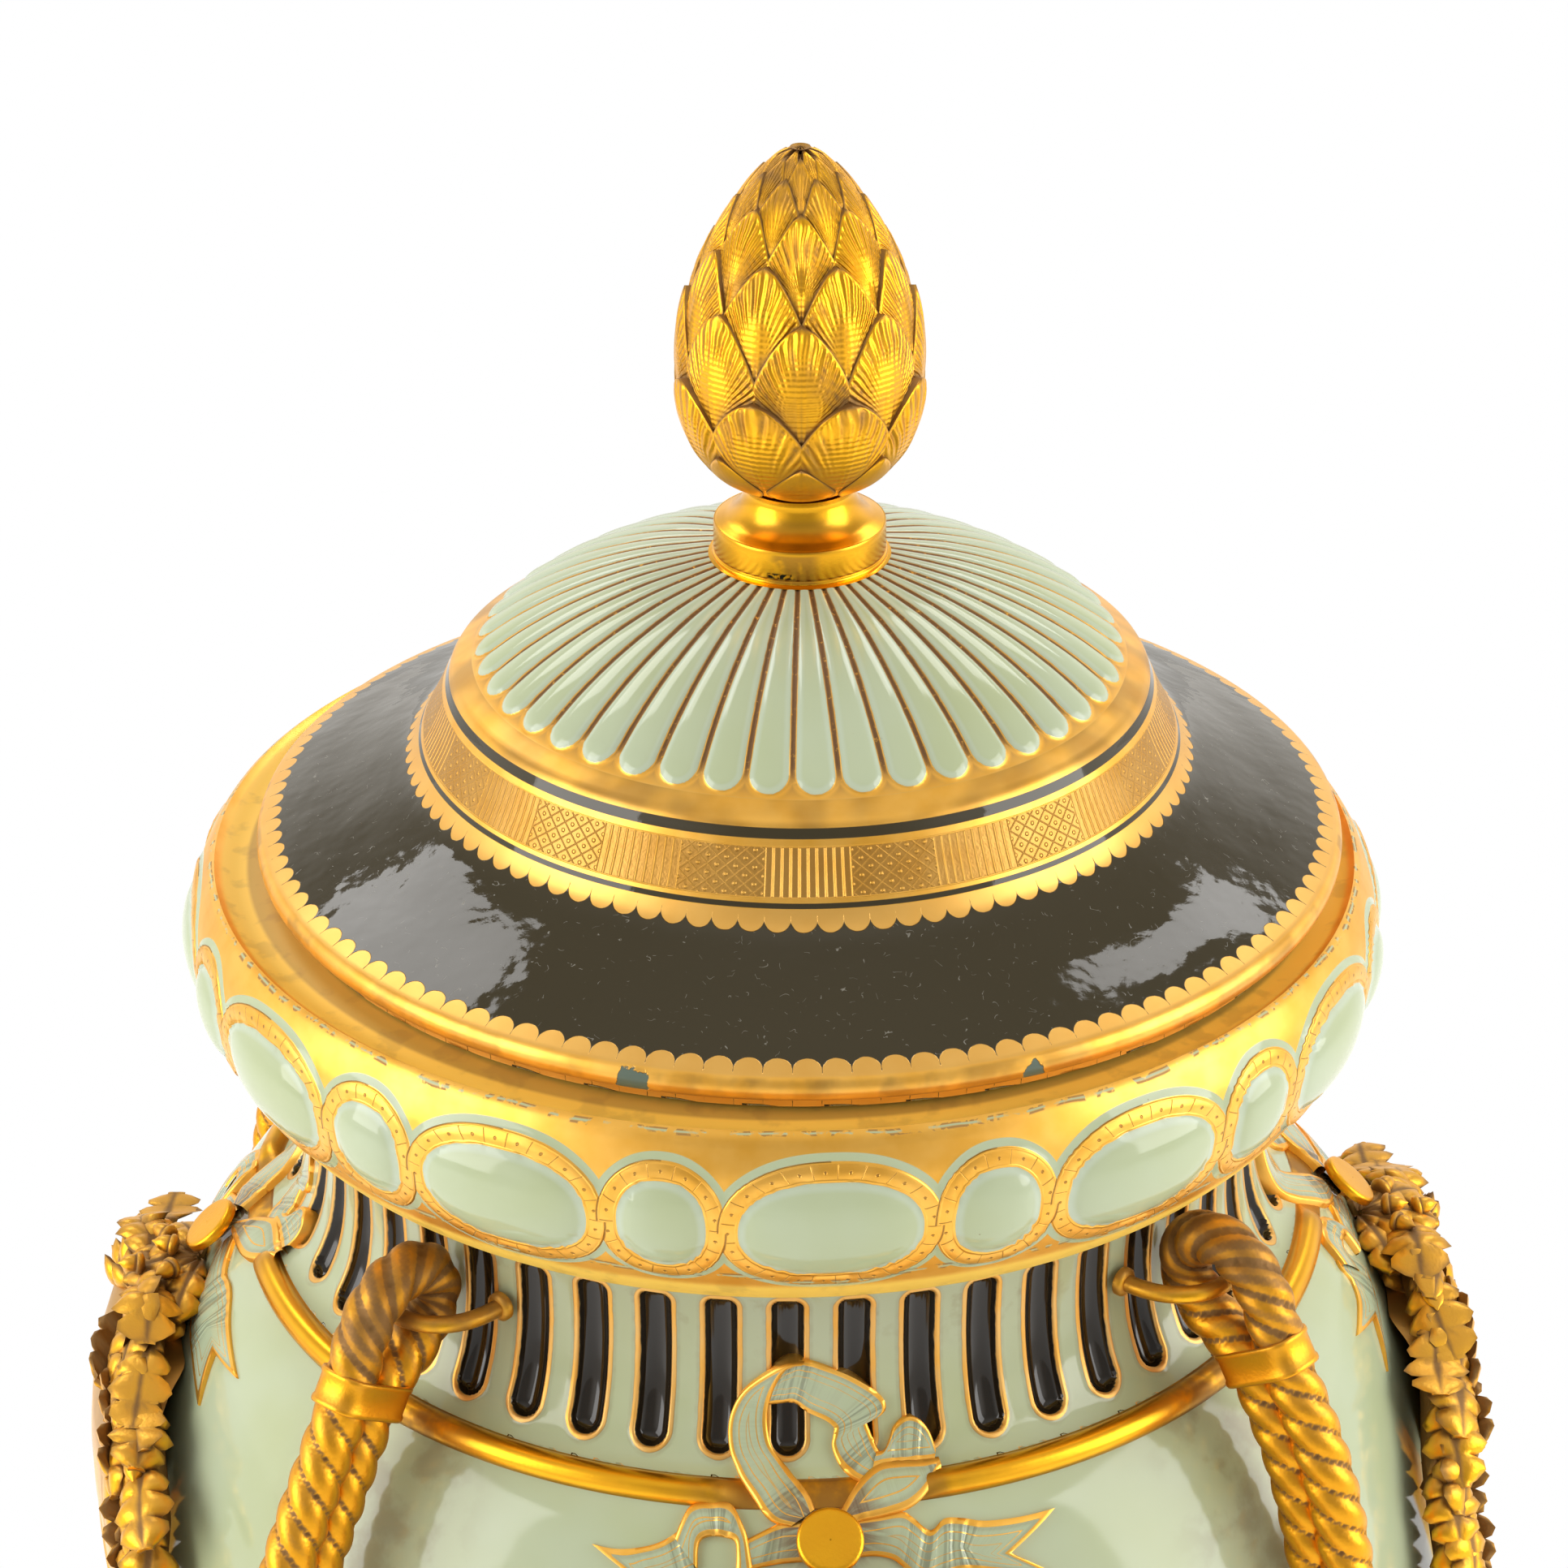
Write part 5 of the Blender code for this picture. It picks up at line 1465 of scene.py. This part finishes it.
def scale_patch(shell, azimuth, row):
    """One shell-shaped scale of the cone, fluted like a fan, its foot under the rows below."""
    lowest = row == 1
    large = 1 < row < 6
    rows, columns = (25, 37) if large else (15, 17)
    tip = SCALE_TIPS[row]
    foot = SCALE_FEET.get(row, SCALE_TIPS[row - 2] - SCALE_TUCK)
    s = np.linspace(0.0, 1.0, rows)[:, None]
    t = np.concatenate([[-1.0], np.linspace(-1.0, 1.0, columns), [1.0]])[None, :]
    height = foot + (tip - foot) * s
    half_angle = 21.5 * scale_outline(s, 0.35, 0.9) if lowest else 24.4 * scale_outline(s, 0.60, 0.5)
    span = (tip - foot) * 1.05
    reach = cone_radius(height)
    x = t * half_angle
    across = np.radians(x) * reach
    half_width = np.radians(half_angle) * reach
    edge = np.minimum((1.0 - np.abs(t)) * half_width, (1.0 - s) * span * 0.72)

    # Veins that fan out of the foot, a double rib up the middle and a bead along the edge.
    fan_foot = 0.42 if row > 2 else 0.12
    fan = np.arctan2(across, np.maximum(s - fan_foot, 0.0) * span + 2.0)
    near_edge = smoothstep(0.3, 1.0, edge) * (1.0 - smoothstep(3.0, 7.5, edge)) * smoothstep(0.3, 0.6, s)
    vein_rise = VEIN_RISE * np.clip(half_width / 6.0, 0.3, 1.0)
    veins = vein_rise * (np.abs(np.cos(VEIN_COUNT * fan)) ** 0.8 - 0.6) * near_edge
    rib = 0.22 * bump(np.abs(across) - 0.42, 0.24) * (1.0 - smoothstep(0.5, 0.85, s))
    bead = 0.16 * bump(edge - 0.3, 0.3)
    dish = 0.6 * (1.0 - t ** 2) * np.sin(np.pi * s).clip(0.0) ** 0.7
    start = -1.9 if row == 2 else -2.7
    lift = start + (0.2 - start) * s ** 1.15 + veins + rib + bead + dish - 0.3 * np.abs(t) ** 2.6
    if lowest:
        lift = -0.9 + 0.15 * s + 0.6 * bead + 0.3 * (1.0 - np.abs(t)) * s - 0.2 * np.abs(t) ** 2.6
        veins = np.zeros_like(veins)
    lift = lift * (0.30 + 0.70 * np.clip(reach / 20.0, 0.0, 1.0))
    skirt = np.zeros_like(t)
    skirt[0, 0] = skirt[0, -1] = 2.4
    radius = np.maximum(reach + lift - skirt, 0.05)
    points = around(azimuth + x, radius, np.minimum(height, 129.8))
    raised = np.clip(0.62 + veins * 1.9 + rib * 1.2 + bead * 2.0, 0.0, 1.0) * (edge > 0.02)
    fluted = near_edge * np.ones_like(fan) * (row > 1)
    shell.patch(points[::-1], raised=raised[::-1], fan=fan[::-1], edge=edge[::-1], fluted=fluted[::-1])


def finial():
    """The cone's core and scales on their turned collar."""
    shell = Shell()
    shell.turned(smooth_curve(FINIAL_BASE, 4)[::-1], 96, surface=1)
    core = [(r - 1.9 if z > 66 else r, z) for r, z in CONE_OUTLINE]
    shell.turned(np.vstack([[(0.02, 128.4)], np.array(core)[::-1]]), 64)
    for row in range(1, len(SCALE_TIPS)):
        for k in range(SCALES):
            azimuth = CONE_PHASE + 45.0 * k + (0.0 if row % 2 else 22.5)
            scale_patch(shell, azimuth, row)
    return shell.finish("pine_cone", [cone_paint(), finial_base_paint()], "burnished_gilding",
                        ["pine_cone_finial"], centre=LID_CENTRE)


# ---------------------------------------------------------------- ropes and staples

def in_plane(azimuth, flat, aside=0.0):
    """Points of the vertical plane at this azimuth, moved sideways."""
    angle = math.radians(azimuth)
    points = around(azimuth, flat[..., 0], flat[..., 1])
    return points + np.asarray(aside)[..., None] * np.array([math.cos(angle), math.sin(angle), 0.0])


def rope_line(drawn_in):
    """The closed line of a doubled rope, in its vertical plane. Some hang a little closer to the body."""
    pair = smooth_curve(ROPE_PAIR, 2)
    level = pair[:, 1]
    pair[:, 0] -= drawn_in * smoothstep(-80.0, -116.0, level) * (1.0 - smoothstep(-145.0, -167.0, level))
    along = unit(np.gradient(pair, axis=0))
    away = np.stack([-along[:, 1], along[:, 0]], -1) * ROPE_SPACING / 2
    points = np.vstack([ROPE_TOP_LOOP[1:], pair + away, ROPE_LOWER_LOOP, (pair - away)[::-1]])
    return smooth_curve(points, 8, closed=True)


def rope(name, azimuth, drawn_in):
    """A doubled rope of three laid strands, with its two bands."""
    shell = Shell()
    line = rope_line(drawn_in)
    line = np.vstack([line, line[:1]])
    total = lengths_along(line)[-1]
    count = round(total / ROPE_STEP)
    flat = resample(line, np.arange(count) * total / count)
    ahead = unit(np.roll(flat, -1, axis=0) - np.roll(flat, 1, axis=0))
    away = np.stack([-ahead[:, 1], ahead[:, 0]], -1)
    turn = 2 * np.pi * np.arange(ROPE_SIDES)[None, :] / ROPE_SIDES
    turns = round(total / ROPE_LAY)
    twist = 2 * np.pi * turns * np.arange(count)[:, None] / count
    place = (1.5 * (turn - twist) / np.pi) % 1.0
    strand = np.sin(np.pi * place)
    ridge = ROPE_RIDGE * bump(place - ROPE_RIDGE_PLACE, 0.05)
    reach = ROPE_RADIUS * (ROPE_CORE + ROPE_SWELL * strand ** 0.45) + ridge
    across = reach * np.cos(turn)
    centres = flat[:, None, :] + away[:, None, :] * across[..., None]
    points = in_plane(azimuth, centres, reach * np.sin(turn))
    points, strand = (np.concatenate([grid, grid[:1]]) for grid in (points, strand))
    shell.patch(points, closed=True, flip=True, strand=strand)
    for where in (0, len(ROPE_PAIR) - 2):
        rope_band(shell, azimuth, where)
    return shell.finish(name + "_laid", [rope_paint()], "matt_gilt_bronze", [name], sharp=80.0)


def rope_band(shell, azimuth, where):
    """The flat band that holds the two legs of a rope together, with a low ridge at each edge."""
    point = np.array(ROPE_PAIR[where])
    along = unit(np.array(ROPE_PAIR[where + 1]) - point)
    away = np.array([-along[1], along[0]])
    turn = 2 * np.pi * np.arange(72) / 72
    round_x = np.sign(np.cos(turn)) * np.abs(np.cos(turn)) ** 0.42
    round_y = np.sign(np.sin(turn)) * np.abs(np.sin(turn)) ** 0.8
    rows = []
    for end, size in BAND_STATIONS:
        flat = point + along * end * BAND_LENGTH + away * (round_x * BAND_HALF_DEPTH * size)[:, None]
        rows.append(in_plane(azimuth, flat, round_y * BAND_HALF_WIDTH * size))
    shell.patch(np.array(rows), closed=True, flip=True, strand=0.6)


def staple(name, azimuth, reach, level):
    """A wire hoop set in the porcelain, with a small collar at each foot."""
    shell = Shell()
    outline = NECK_OUTLINE + BELLY_OUTLINE
    root = float(level_radius(outline, level)) + 0.4
    turn = np.pi * (np.linspace(0.0, 1.0, 41) - 0.5)
    aside = STAPLE_HALF_SPAN * np.sin(turn)
    out = root + (reach - root) * np.cos(turn) ** 0.8
    line = in_plane(azimuth, np.stack([out, np.full_like(out, level)], -1), aside)
    shell.tube(line, STAPLE_WIRE, 14)
    out_of_wall, radii = np.array(STAPLE_COLLAR).T
    for foot in (line[0], line[-1]):
        shell.tube(foot + around(azimuth, out_of_wall, 0.0), radii, 20)
    return shell.finish(name + "_wire", [staple_paint()], "burnished_gilding", [name])


# ---------------------------------------------------------------- oak garlands

def garland_centre(azimuth, height):
    """Radius of the wreath's core: clear of the belly, and further out at its top."""
    clearance = 5.8 + 2.2 * smoothstep(-125.0, -106.0, height)
    rest = level_radius(BELLY_OUTLINE, height) + clearance
    top = np.where(height > GARLAND_TOP_LEVEL, np.maximum(0.0, 1.0 - np.abs(azimuth) / 18.0), 0.0)
    return np.maximum(rest, GARLAND_TOP_RADIUS * top + rest * (1.0 - top))


def oak_leaf(shell, base, ahead, out, size, bend, twist, lobes=4):
    """A lobed oak leaf: stem at the base, arched away from the wreath, with a midrib and side veins."""
    length_mm, width = size
    ahead = unit(ahead)
    side = unit(np.cross(out, ahead))
    out = np.cross(ahead, side)
    side = side * math.cos(twist) + out * math.sin(twist)
    out = np.cross(ahead, side)
    shares = {(k + part - NOTCH_PLACE) / lobes for k in range(lobes + 1) for part in LOBE_STATIONS}
    s = np.array(sorted({0.0, 1.0} | {share for share in shares if 0.0 < share < 1.0}))[:, None]
    t = np.linspace(-1.0, 1.0, 11)[None, :]
    notches = np.abs(np.sin(np.pi * (lobes * s + NOTCH_PLACE))) ** 0.65
    envelope = np.sin(np.pi * np.clip(s * 0.93 + 0.04, 0.0, 1.0)) ** 0.55 * (0.62 + 0.52 * s)
    half = 0.5 * width * envelope * (0.56 + 0.44 * notches)
    x = t * half
    forward = 0.07 * length_mm * (np.abs(t) ** 1.6) * notches
    along = s * length_mm + forward * (1.0 - s)

    # Height over the leaf's plane: arched along, cupped across, swollen lobes, sunk midrib and veins.
    arch = bend * np.sin(np.pi * s * 0.95) - 0.10 * length_mm * s ** 3
    cupped = LEAF_CUP * width * envelope
    lobe_swell = notches * np.abs(t) * (1.0 - np.abs(t) ** 4)
    midrib = -0.5 * bump(x, 0.42) * (1.0 - s) ** 0.4
    vein_place = (s * lobes - 0.55 * np.abs(t) + 0.62) % 1.0 - 0.5
    veins = -0.22 * bump(vein_place, 0.07) * smoothstep(0.08, 0.3, np.abs(t))
    top = base + ahead * along[..., None] + side * x[..., None]
    top = top + out * (arch - cupped * t ** 2 + lobe_swell + midrib + veins)[..., None]
    under = t[:, ::-5] * 0.8
    below = base + ahead * (s * length_mm * 0.97)[..., None] + side * (under * half)[..., None]
    below = below + out * (arch - cupped * under ** 2 - LEAF_THICKNESS)[..., None]
    raised = np.clip(0.62 + 0.9 * lobe_swell + 1.4 * midrib + 1.6 * veins, 0.0, 1.0)
    raised = raised * smoothstep(-0.05, 0.3, s)
    ring = np.concatenate([top, below], 1)
    heights = np.concatenate([raised, np.zeros(below.shape[:2])], 1)
    ends = np.repeat(ring.mean(axis=1, keepdims=True), ring.shape[1], 1)
    shell.patch(np.concatenate([ends[:1], ring, ends[-1:]]), closed=True,
                raised=np.concatenate([heights[:1], heights, heights[-1:]]))


def acorn(shell, base, ahead, size):
    """An acorn in its cup."""
    ahead = unit(ahead)
    places, radii, raised = np.array(ACORN_PROFILE).T
    line = base + ahead * places[:, None] * size
    shell.tube(line, radii * size, 16, ends=False, sideways=(0.3, 0.5, 0.8), raised=raised[:, None])


def leaf_ring(shell, rng, here, ahead, slope):
    """Oak leaves side by side round the wreath's core, each a little out of true."""
    across = unit(np.cross(ahead, slope))
    for lane, degrees in enumerate(LANES):
        jitter = rng.uniform(-1.0, 1.0, 4)
        turn = math.radians(degrees + 8.0 * jitter[0])
        aside = across * math.sin(turn)
        back = 5.0 if lane % 2 else 0.0
        start = here + aside * 4.6 + slope * (math.cos(turn) * 2.4) - ahead * back
        way = ahead + aside * (0.30 + 0.06 * jitter[2]) + slope * 0.20 + across * (0.24 * jitter[1])
        size = (LEAF_SIZE[0] + 2.2 * jitter[3], LEAF_SIZE[1] + 1.2 * jitter[2])
        oak_leaf(shell, start, way, slope * math.cos(turn) + aside, size, 1.2, 0.35 * jitter[3])


def garland(name, quarter, number):
    """A wreath of oak leaves and acorns that grow from its top down both sides, with its flat boss."""
    shell = Shell()
    rng = np.random.default_rng(SEED + number)
    half = smooth_curve(GARLAND_LINE, 6)
    azimuth, height = np.vstack([half, half[:0:-1] * np.array([-1.0, 1.0])]).T
    centre = around(quarter + azimuth, garland_centre(azimuth, height), height)
    total = lengths_along(centre)[-1]
    half_length = total / 2
    shell.tube(resample(centre, np.linspace(0.0, total, 90)), 3.4, 10, ends=False, raised=0.0)
    steps = round(half_length / GARLAND_STEP)
    for side in (1.0, -1.0):
        for step in range(steps):
            place = half_length * (step + 0.35) / steps
            if side < 0:
                place = total - place
            here, after = resample(centre, np.array([place, place + side]))
            ahead = unit(after - here)
            outward = unit(np.array([here[0], here[1], 0.0]))
            slope = unit(outward + np.array([0.0, 0.0, 0.5 if here[2] > GARLAND_TOP_LEVEL else 0.0]))
            leaf_ring(shell, rng, here, ahead, slope)
            if step % 2:
                turn = math.radians(60.0 if step % 4 == 1 else -60.0)
                face = slope * math.cos(turn) + unit(np.cross(ahead, slope)) * math.sin(turn)
                acorn(shell, here + face * 5.0, ahead + face * 0.45, ACORN_SIZE)
    top_cluster(shell, quarter, rng)
    keep_inside(shell, quarter)
    boss(shell, quarter)
    return shell.finish(name + "_wreath", [garland_paint()], "matt_gilt_bronze", [name], sharp=65.0)


def held_back(value, limit, margin):
    """The value, drawn in more and more over the last millimetres before a limit."""
    over = np.maximum(value - (limit - margin), 0.0)
    return np.where(over > 0.0, limit - margin * np.exp(-over / margin), value)


def under_cap(points, quarter):
    """Presses leaves down where they would stand higher than the bows' knots."""
    radii, levels = np.array(HIGHEST_LEAF).T
    highest = np.interp(np.hypot(points[:, 0], points[:, 1]), radii, levels)
    aside = np.abs(points @ in_plane(quarter, np.zeros(2), 1.0))
    beside = -93.2 - 0.62 * np.clip(aside - 16.0, 0.0, 20.0)
    share = smoothstep(10.0, 20.0, aside)
    highest = highest * (1.0 - share) + beside * share
    points[:, 2] = held_back(points[:, 2], highest + 0.6, 2.5)


def keep_inside(shell, quarter):
    """Draws the few leaf tips that would stand out past the solids back to their reach."""
    for points in shell.points:
        sides = points[:, :2]
        points[:, :2] = np.sign(sides) * held_back(np.abs(sides), HALF_SIDE, 4.0)
        under_cap(points, quarter)


def top_cluster(shell, quarter, rng):
    """Leaves spread out like a fan where the garland hangs from its boss, with acorns on top of them."""
    outward = unit(around(quarter, 1.0, 0.0))
    aside = np.array([-outward[1], outward[0], 0.0])
    up = np.array([0.0, 0.0, 1.0])
    root = outward * TOP_ROOT[0] + up * TOP_ROOT[1]
    for layer, (drop, rise, size, spreads) in enumerate(TOP_LAYERS):
        for spread in spreads:
            jitter = rng.uniform(-1.0, 1.0, 3)
            reach = outward * math.cos(spread) + aside * math.sin(spread)
            way = reach - up * (drop + 0.08 * jitter[0])
            face = up * (1.2 - 0.4 * layer) + reach * (0.35 + 0.5 * layer)
            start = root + reach * (1.0 + layer) + up * (rise + 0.4 * jitter[1])
            oak_leaf(shell, start, way, face, (size + jitter[2], TOP_LEAF_WIDTH), 1.3, 0.15 * jitter[1], 3)
    for spread, far, rise in TOP_ACORNS:
        reach = outward * math.cos(spread) + aside * math.sin(spread)
        acorn(shell, root + reach * far + up * rise, reach + up * 0.15, TOP_ACORN_SIZE)


def boss(shell, quarter):
    """The flat gilt disc over the knot of the bow."""
    centre = np.array(BOSS_CENTRE)
    normal = unit(np.array(BOSS_NORMAL))
    down = np.array([normal[1], -normal[0]])
    turn = -2 * np.pi * np.arange(64) / 64
    rows = []
    for lift, reach in BOSS_PROFILE:
        flat = centre + normal * lift + down * (reach * BOSS_RADIUS * np.cos(turn))[:, None]
        rows.append(in_plane(quarter, flat, reach * BOSS_RADIUS * np.sin(turn)))
    shell.patch(np.array(rows), closed=True, raised=2.0)


# ---------------------------------------------------------------- foot

def socle():
    shell = Shell()
    shell.turned(smooth_curve(SOCLE_OUTLINE, 4), 120)
    return shell.finish("socle_turned", [celadon_paint()], "celadon_porcelain", ["socle"])


def plinth():
    shell = Shell()
    rows = []
    for height, half in PLINTH_LEVELS:
        steps = np.linspace(-1.0, 1.0, 13)[:-1]
        ones = np.ones_like(steps)
        flat = np.concatenate([np.stack([steps, -ones], -1), np.stack([ones, steps], -1),
                               np.stack([-steps, ones], -1), np.stack([-ones, -steps], -1)])
        rows.append(np.column_stack([flat * half, np.full(len(flat), height)]))
    shell.patch(np.array(rows), closed=True)
    return shell.finish("plinth_moulded", [plinth_paint()], "burnished_gilding", ["plinth"], sharp=30.0)


# ---------------------------------------------------------------- studio

def camera():
    """The picture's camera, which looks down at the lid."""
    made = placed("camera", bpy.data.cameras.new("camera"))
    made.data.lens = CAMERA_LENS
    made.data.sensor_width = CAMERA_SENSOR
    made.data.clip_start = 0.01
    made.location = Vector(CAMERA_PLACE) * MM
    made.rotation_euler = [math.radians(angle) for angle in CAMERA_TURN]
    bpy.context.scene.camera = made


def softbox(name, where, aim, size, power):
    """A rectangular light that the camera doesn't see."""
    data = bpy.data.lights.new(name, "AREA")
    data.shape = "RECTANGLE"
    data.size, data.size_y = size
    data.energy = power
    made = placed(name, data)
    made.location = where
    direction = made.location - aim
    made.rotation_euler = direction.to_track_quat("Z", "Y").to_euler()
    made.visible_camera = False


def white_to_camera(tree, lit, white, end):
    """Plain white where the camera looks straight at it, and the lit shader for everything else."""
    seen = node(tree, "LightPath", "Is Camera Ray")
    feed(tree, tree.nodes[end].inputs["Surface"], node(tree, "MixShader", 0, {0: seen, 1: lit, 2: white}))


def room():
    """White behind the urn, and soft grey walls for everything that is lit or mirrored by them."""
    world = bpy.data.worlds.new("studio")
    bpy.context.scene.world = world
    world.use_nodes = True
    tree = world.node_tree
    place = node(tree, "TexCoord", "Generated")
    x, y, z = (node(tree, "SeparateXYZ", side, {0: place}) for side in range(3))
    sides = abs(x).above(0.55, 0.25)
    low = z.below(0.38, 0.2)
    rear = y.above(-0.1, 0.3) * z.above(0.62, 0.12)
    backdrop = y.above(0.2, 0.3) * low
    near = (y * -1.0).above(0.55, 0.3)
    middle = 1.0 - sides
    strength = ((sides * low).most(backdrop) * WALLS["sides"] + WALLS["room"]
                - rear * middle * WALLS["rear"] - near * middle * WALLS["near"]
                + z.above(0.80, 0.2) * WALLS["ceiling"])
    lit = node(tree, "Background", 0, {"Color": WALL_LIGHT, "Strength": strength})
    white = node(tree, "Background", 0, {"Color": WHITE, "Strength": 1.0})
    white_to_camera(tree, lit, white, "World Output")


def floor():
    """A floor that is plain white to the camera and light grey to what stands on it."""
    mesh = bpy.data.meshes.new("floor")
    mesh.from_pydata([(-6, -6, 0), (6, -6, 0), (6, 6, 0), (-6, 6, 0)], [], [(0, 1, 2, 3)])
    made = placed("floor", mesh)
    finish = bpy.data.materials.new("floor")
    finish.use_nodes = True
    tree = finish.node_tree
    lit = node(tree, "BsdfPrincipled", 0, {"Base Color": FLOOR_GREY, "Roughness": 0.6,
                                           "Emission Color": WHITE, "Emission Strength": 0.25})
    white_to_camera(tree, lit, node(tree, "Emission"), "Material Output")
    mesh.materials.append(finish)


def studio():
    """The room, the floor and two softboxes on each side."""
    room()
    floor()
    middle = Vector((0.0, 0.0, (RIM - 20.0) * MM))
    for side, name in ((-1.0, "left"), (1.0, "right")):
        front = Vector((side * SOFTBOX_PLACE[0], *SOFTBOX_PLACE[1:]))
        rear = middle + Vector((side * REAR_PANEL_PLACE[0], *REAR_PANEL_PLACE[1:])) * 1.3
        softbox(f"{name} softbox", front, middle, SOFTBOX_SIZE, SOFTBOX_POWER)
        softbox(f"{name} rear panel", rear, middle, REAR_PANEL_SIZE, REAR_PANEL_POWER)


def main():
    bpy.context.scene.view_settings.view_transform = "Standard"
    camera()
    studio()
    collar()
    neck()
    belly()
    for side, quarter in QUARTERS.items():
        tablet(f"tablet_{side}", quarter)
        bow(f"bow_{side}", quarter)
    lid()
    finial()
    for corner, azimuth in CORNERS.items():
        rope(f"rope_{corner}", azimuth, ROPE_DRAWN_IN.get(corner, 0.0))
        staple(f"upper_staple_{corner}", azimuth, *UPPER_STAPLE)
        staple(f"lower_staple_{corner}", azimuth, *LOWER_STAPLE)
    for number, (side, quarter) in enumerate(QUARTERS.items()):
        garland(f"oak_garland_{side}", quarter, number)
    socle()
    plinth()


main()
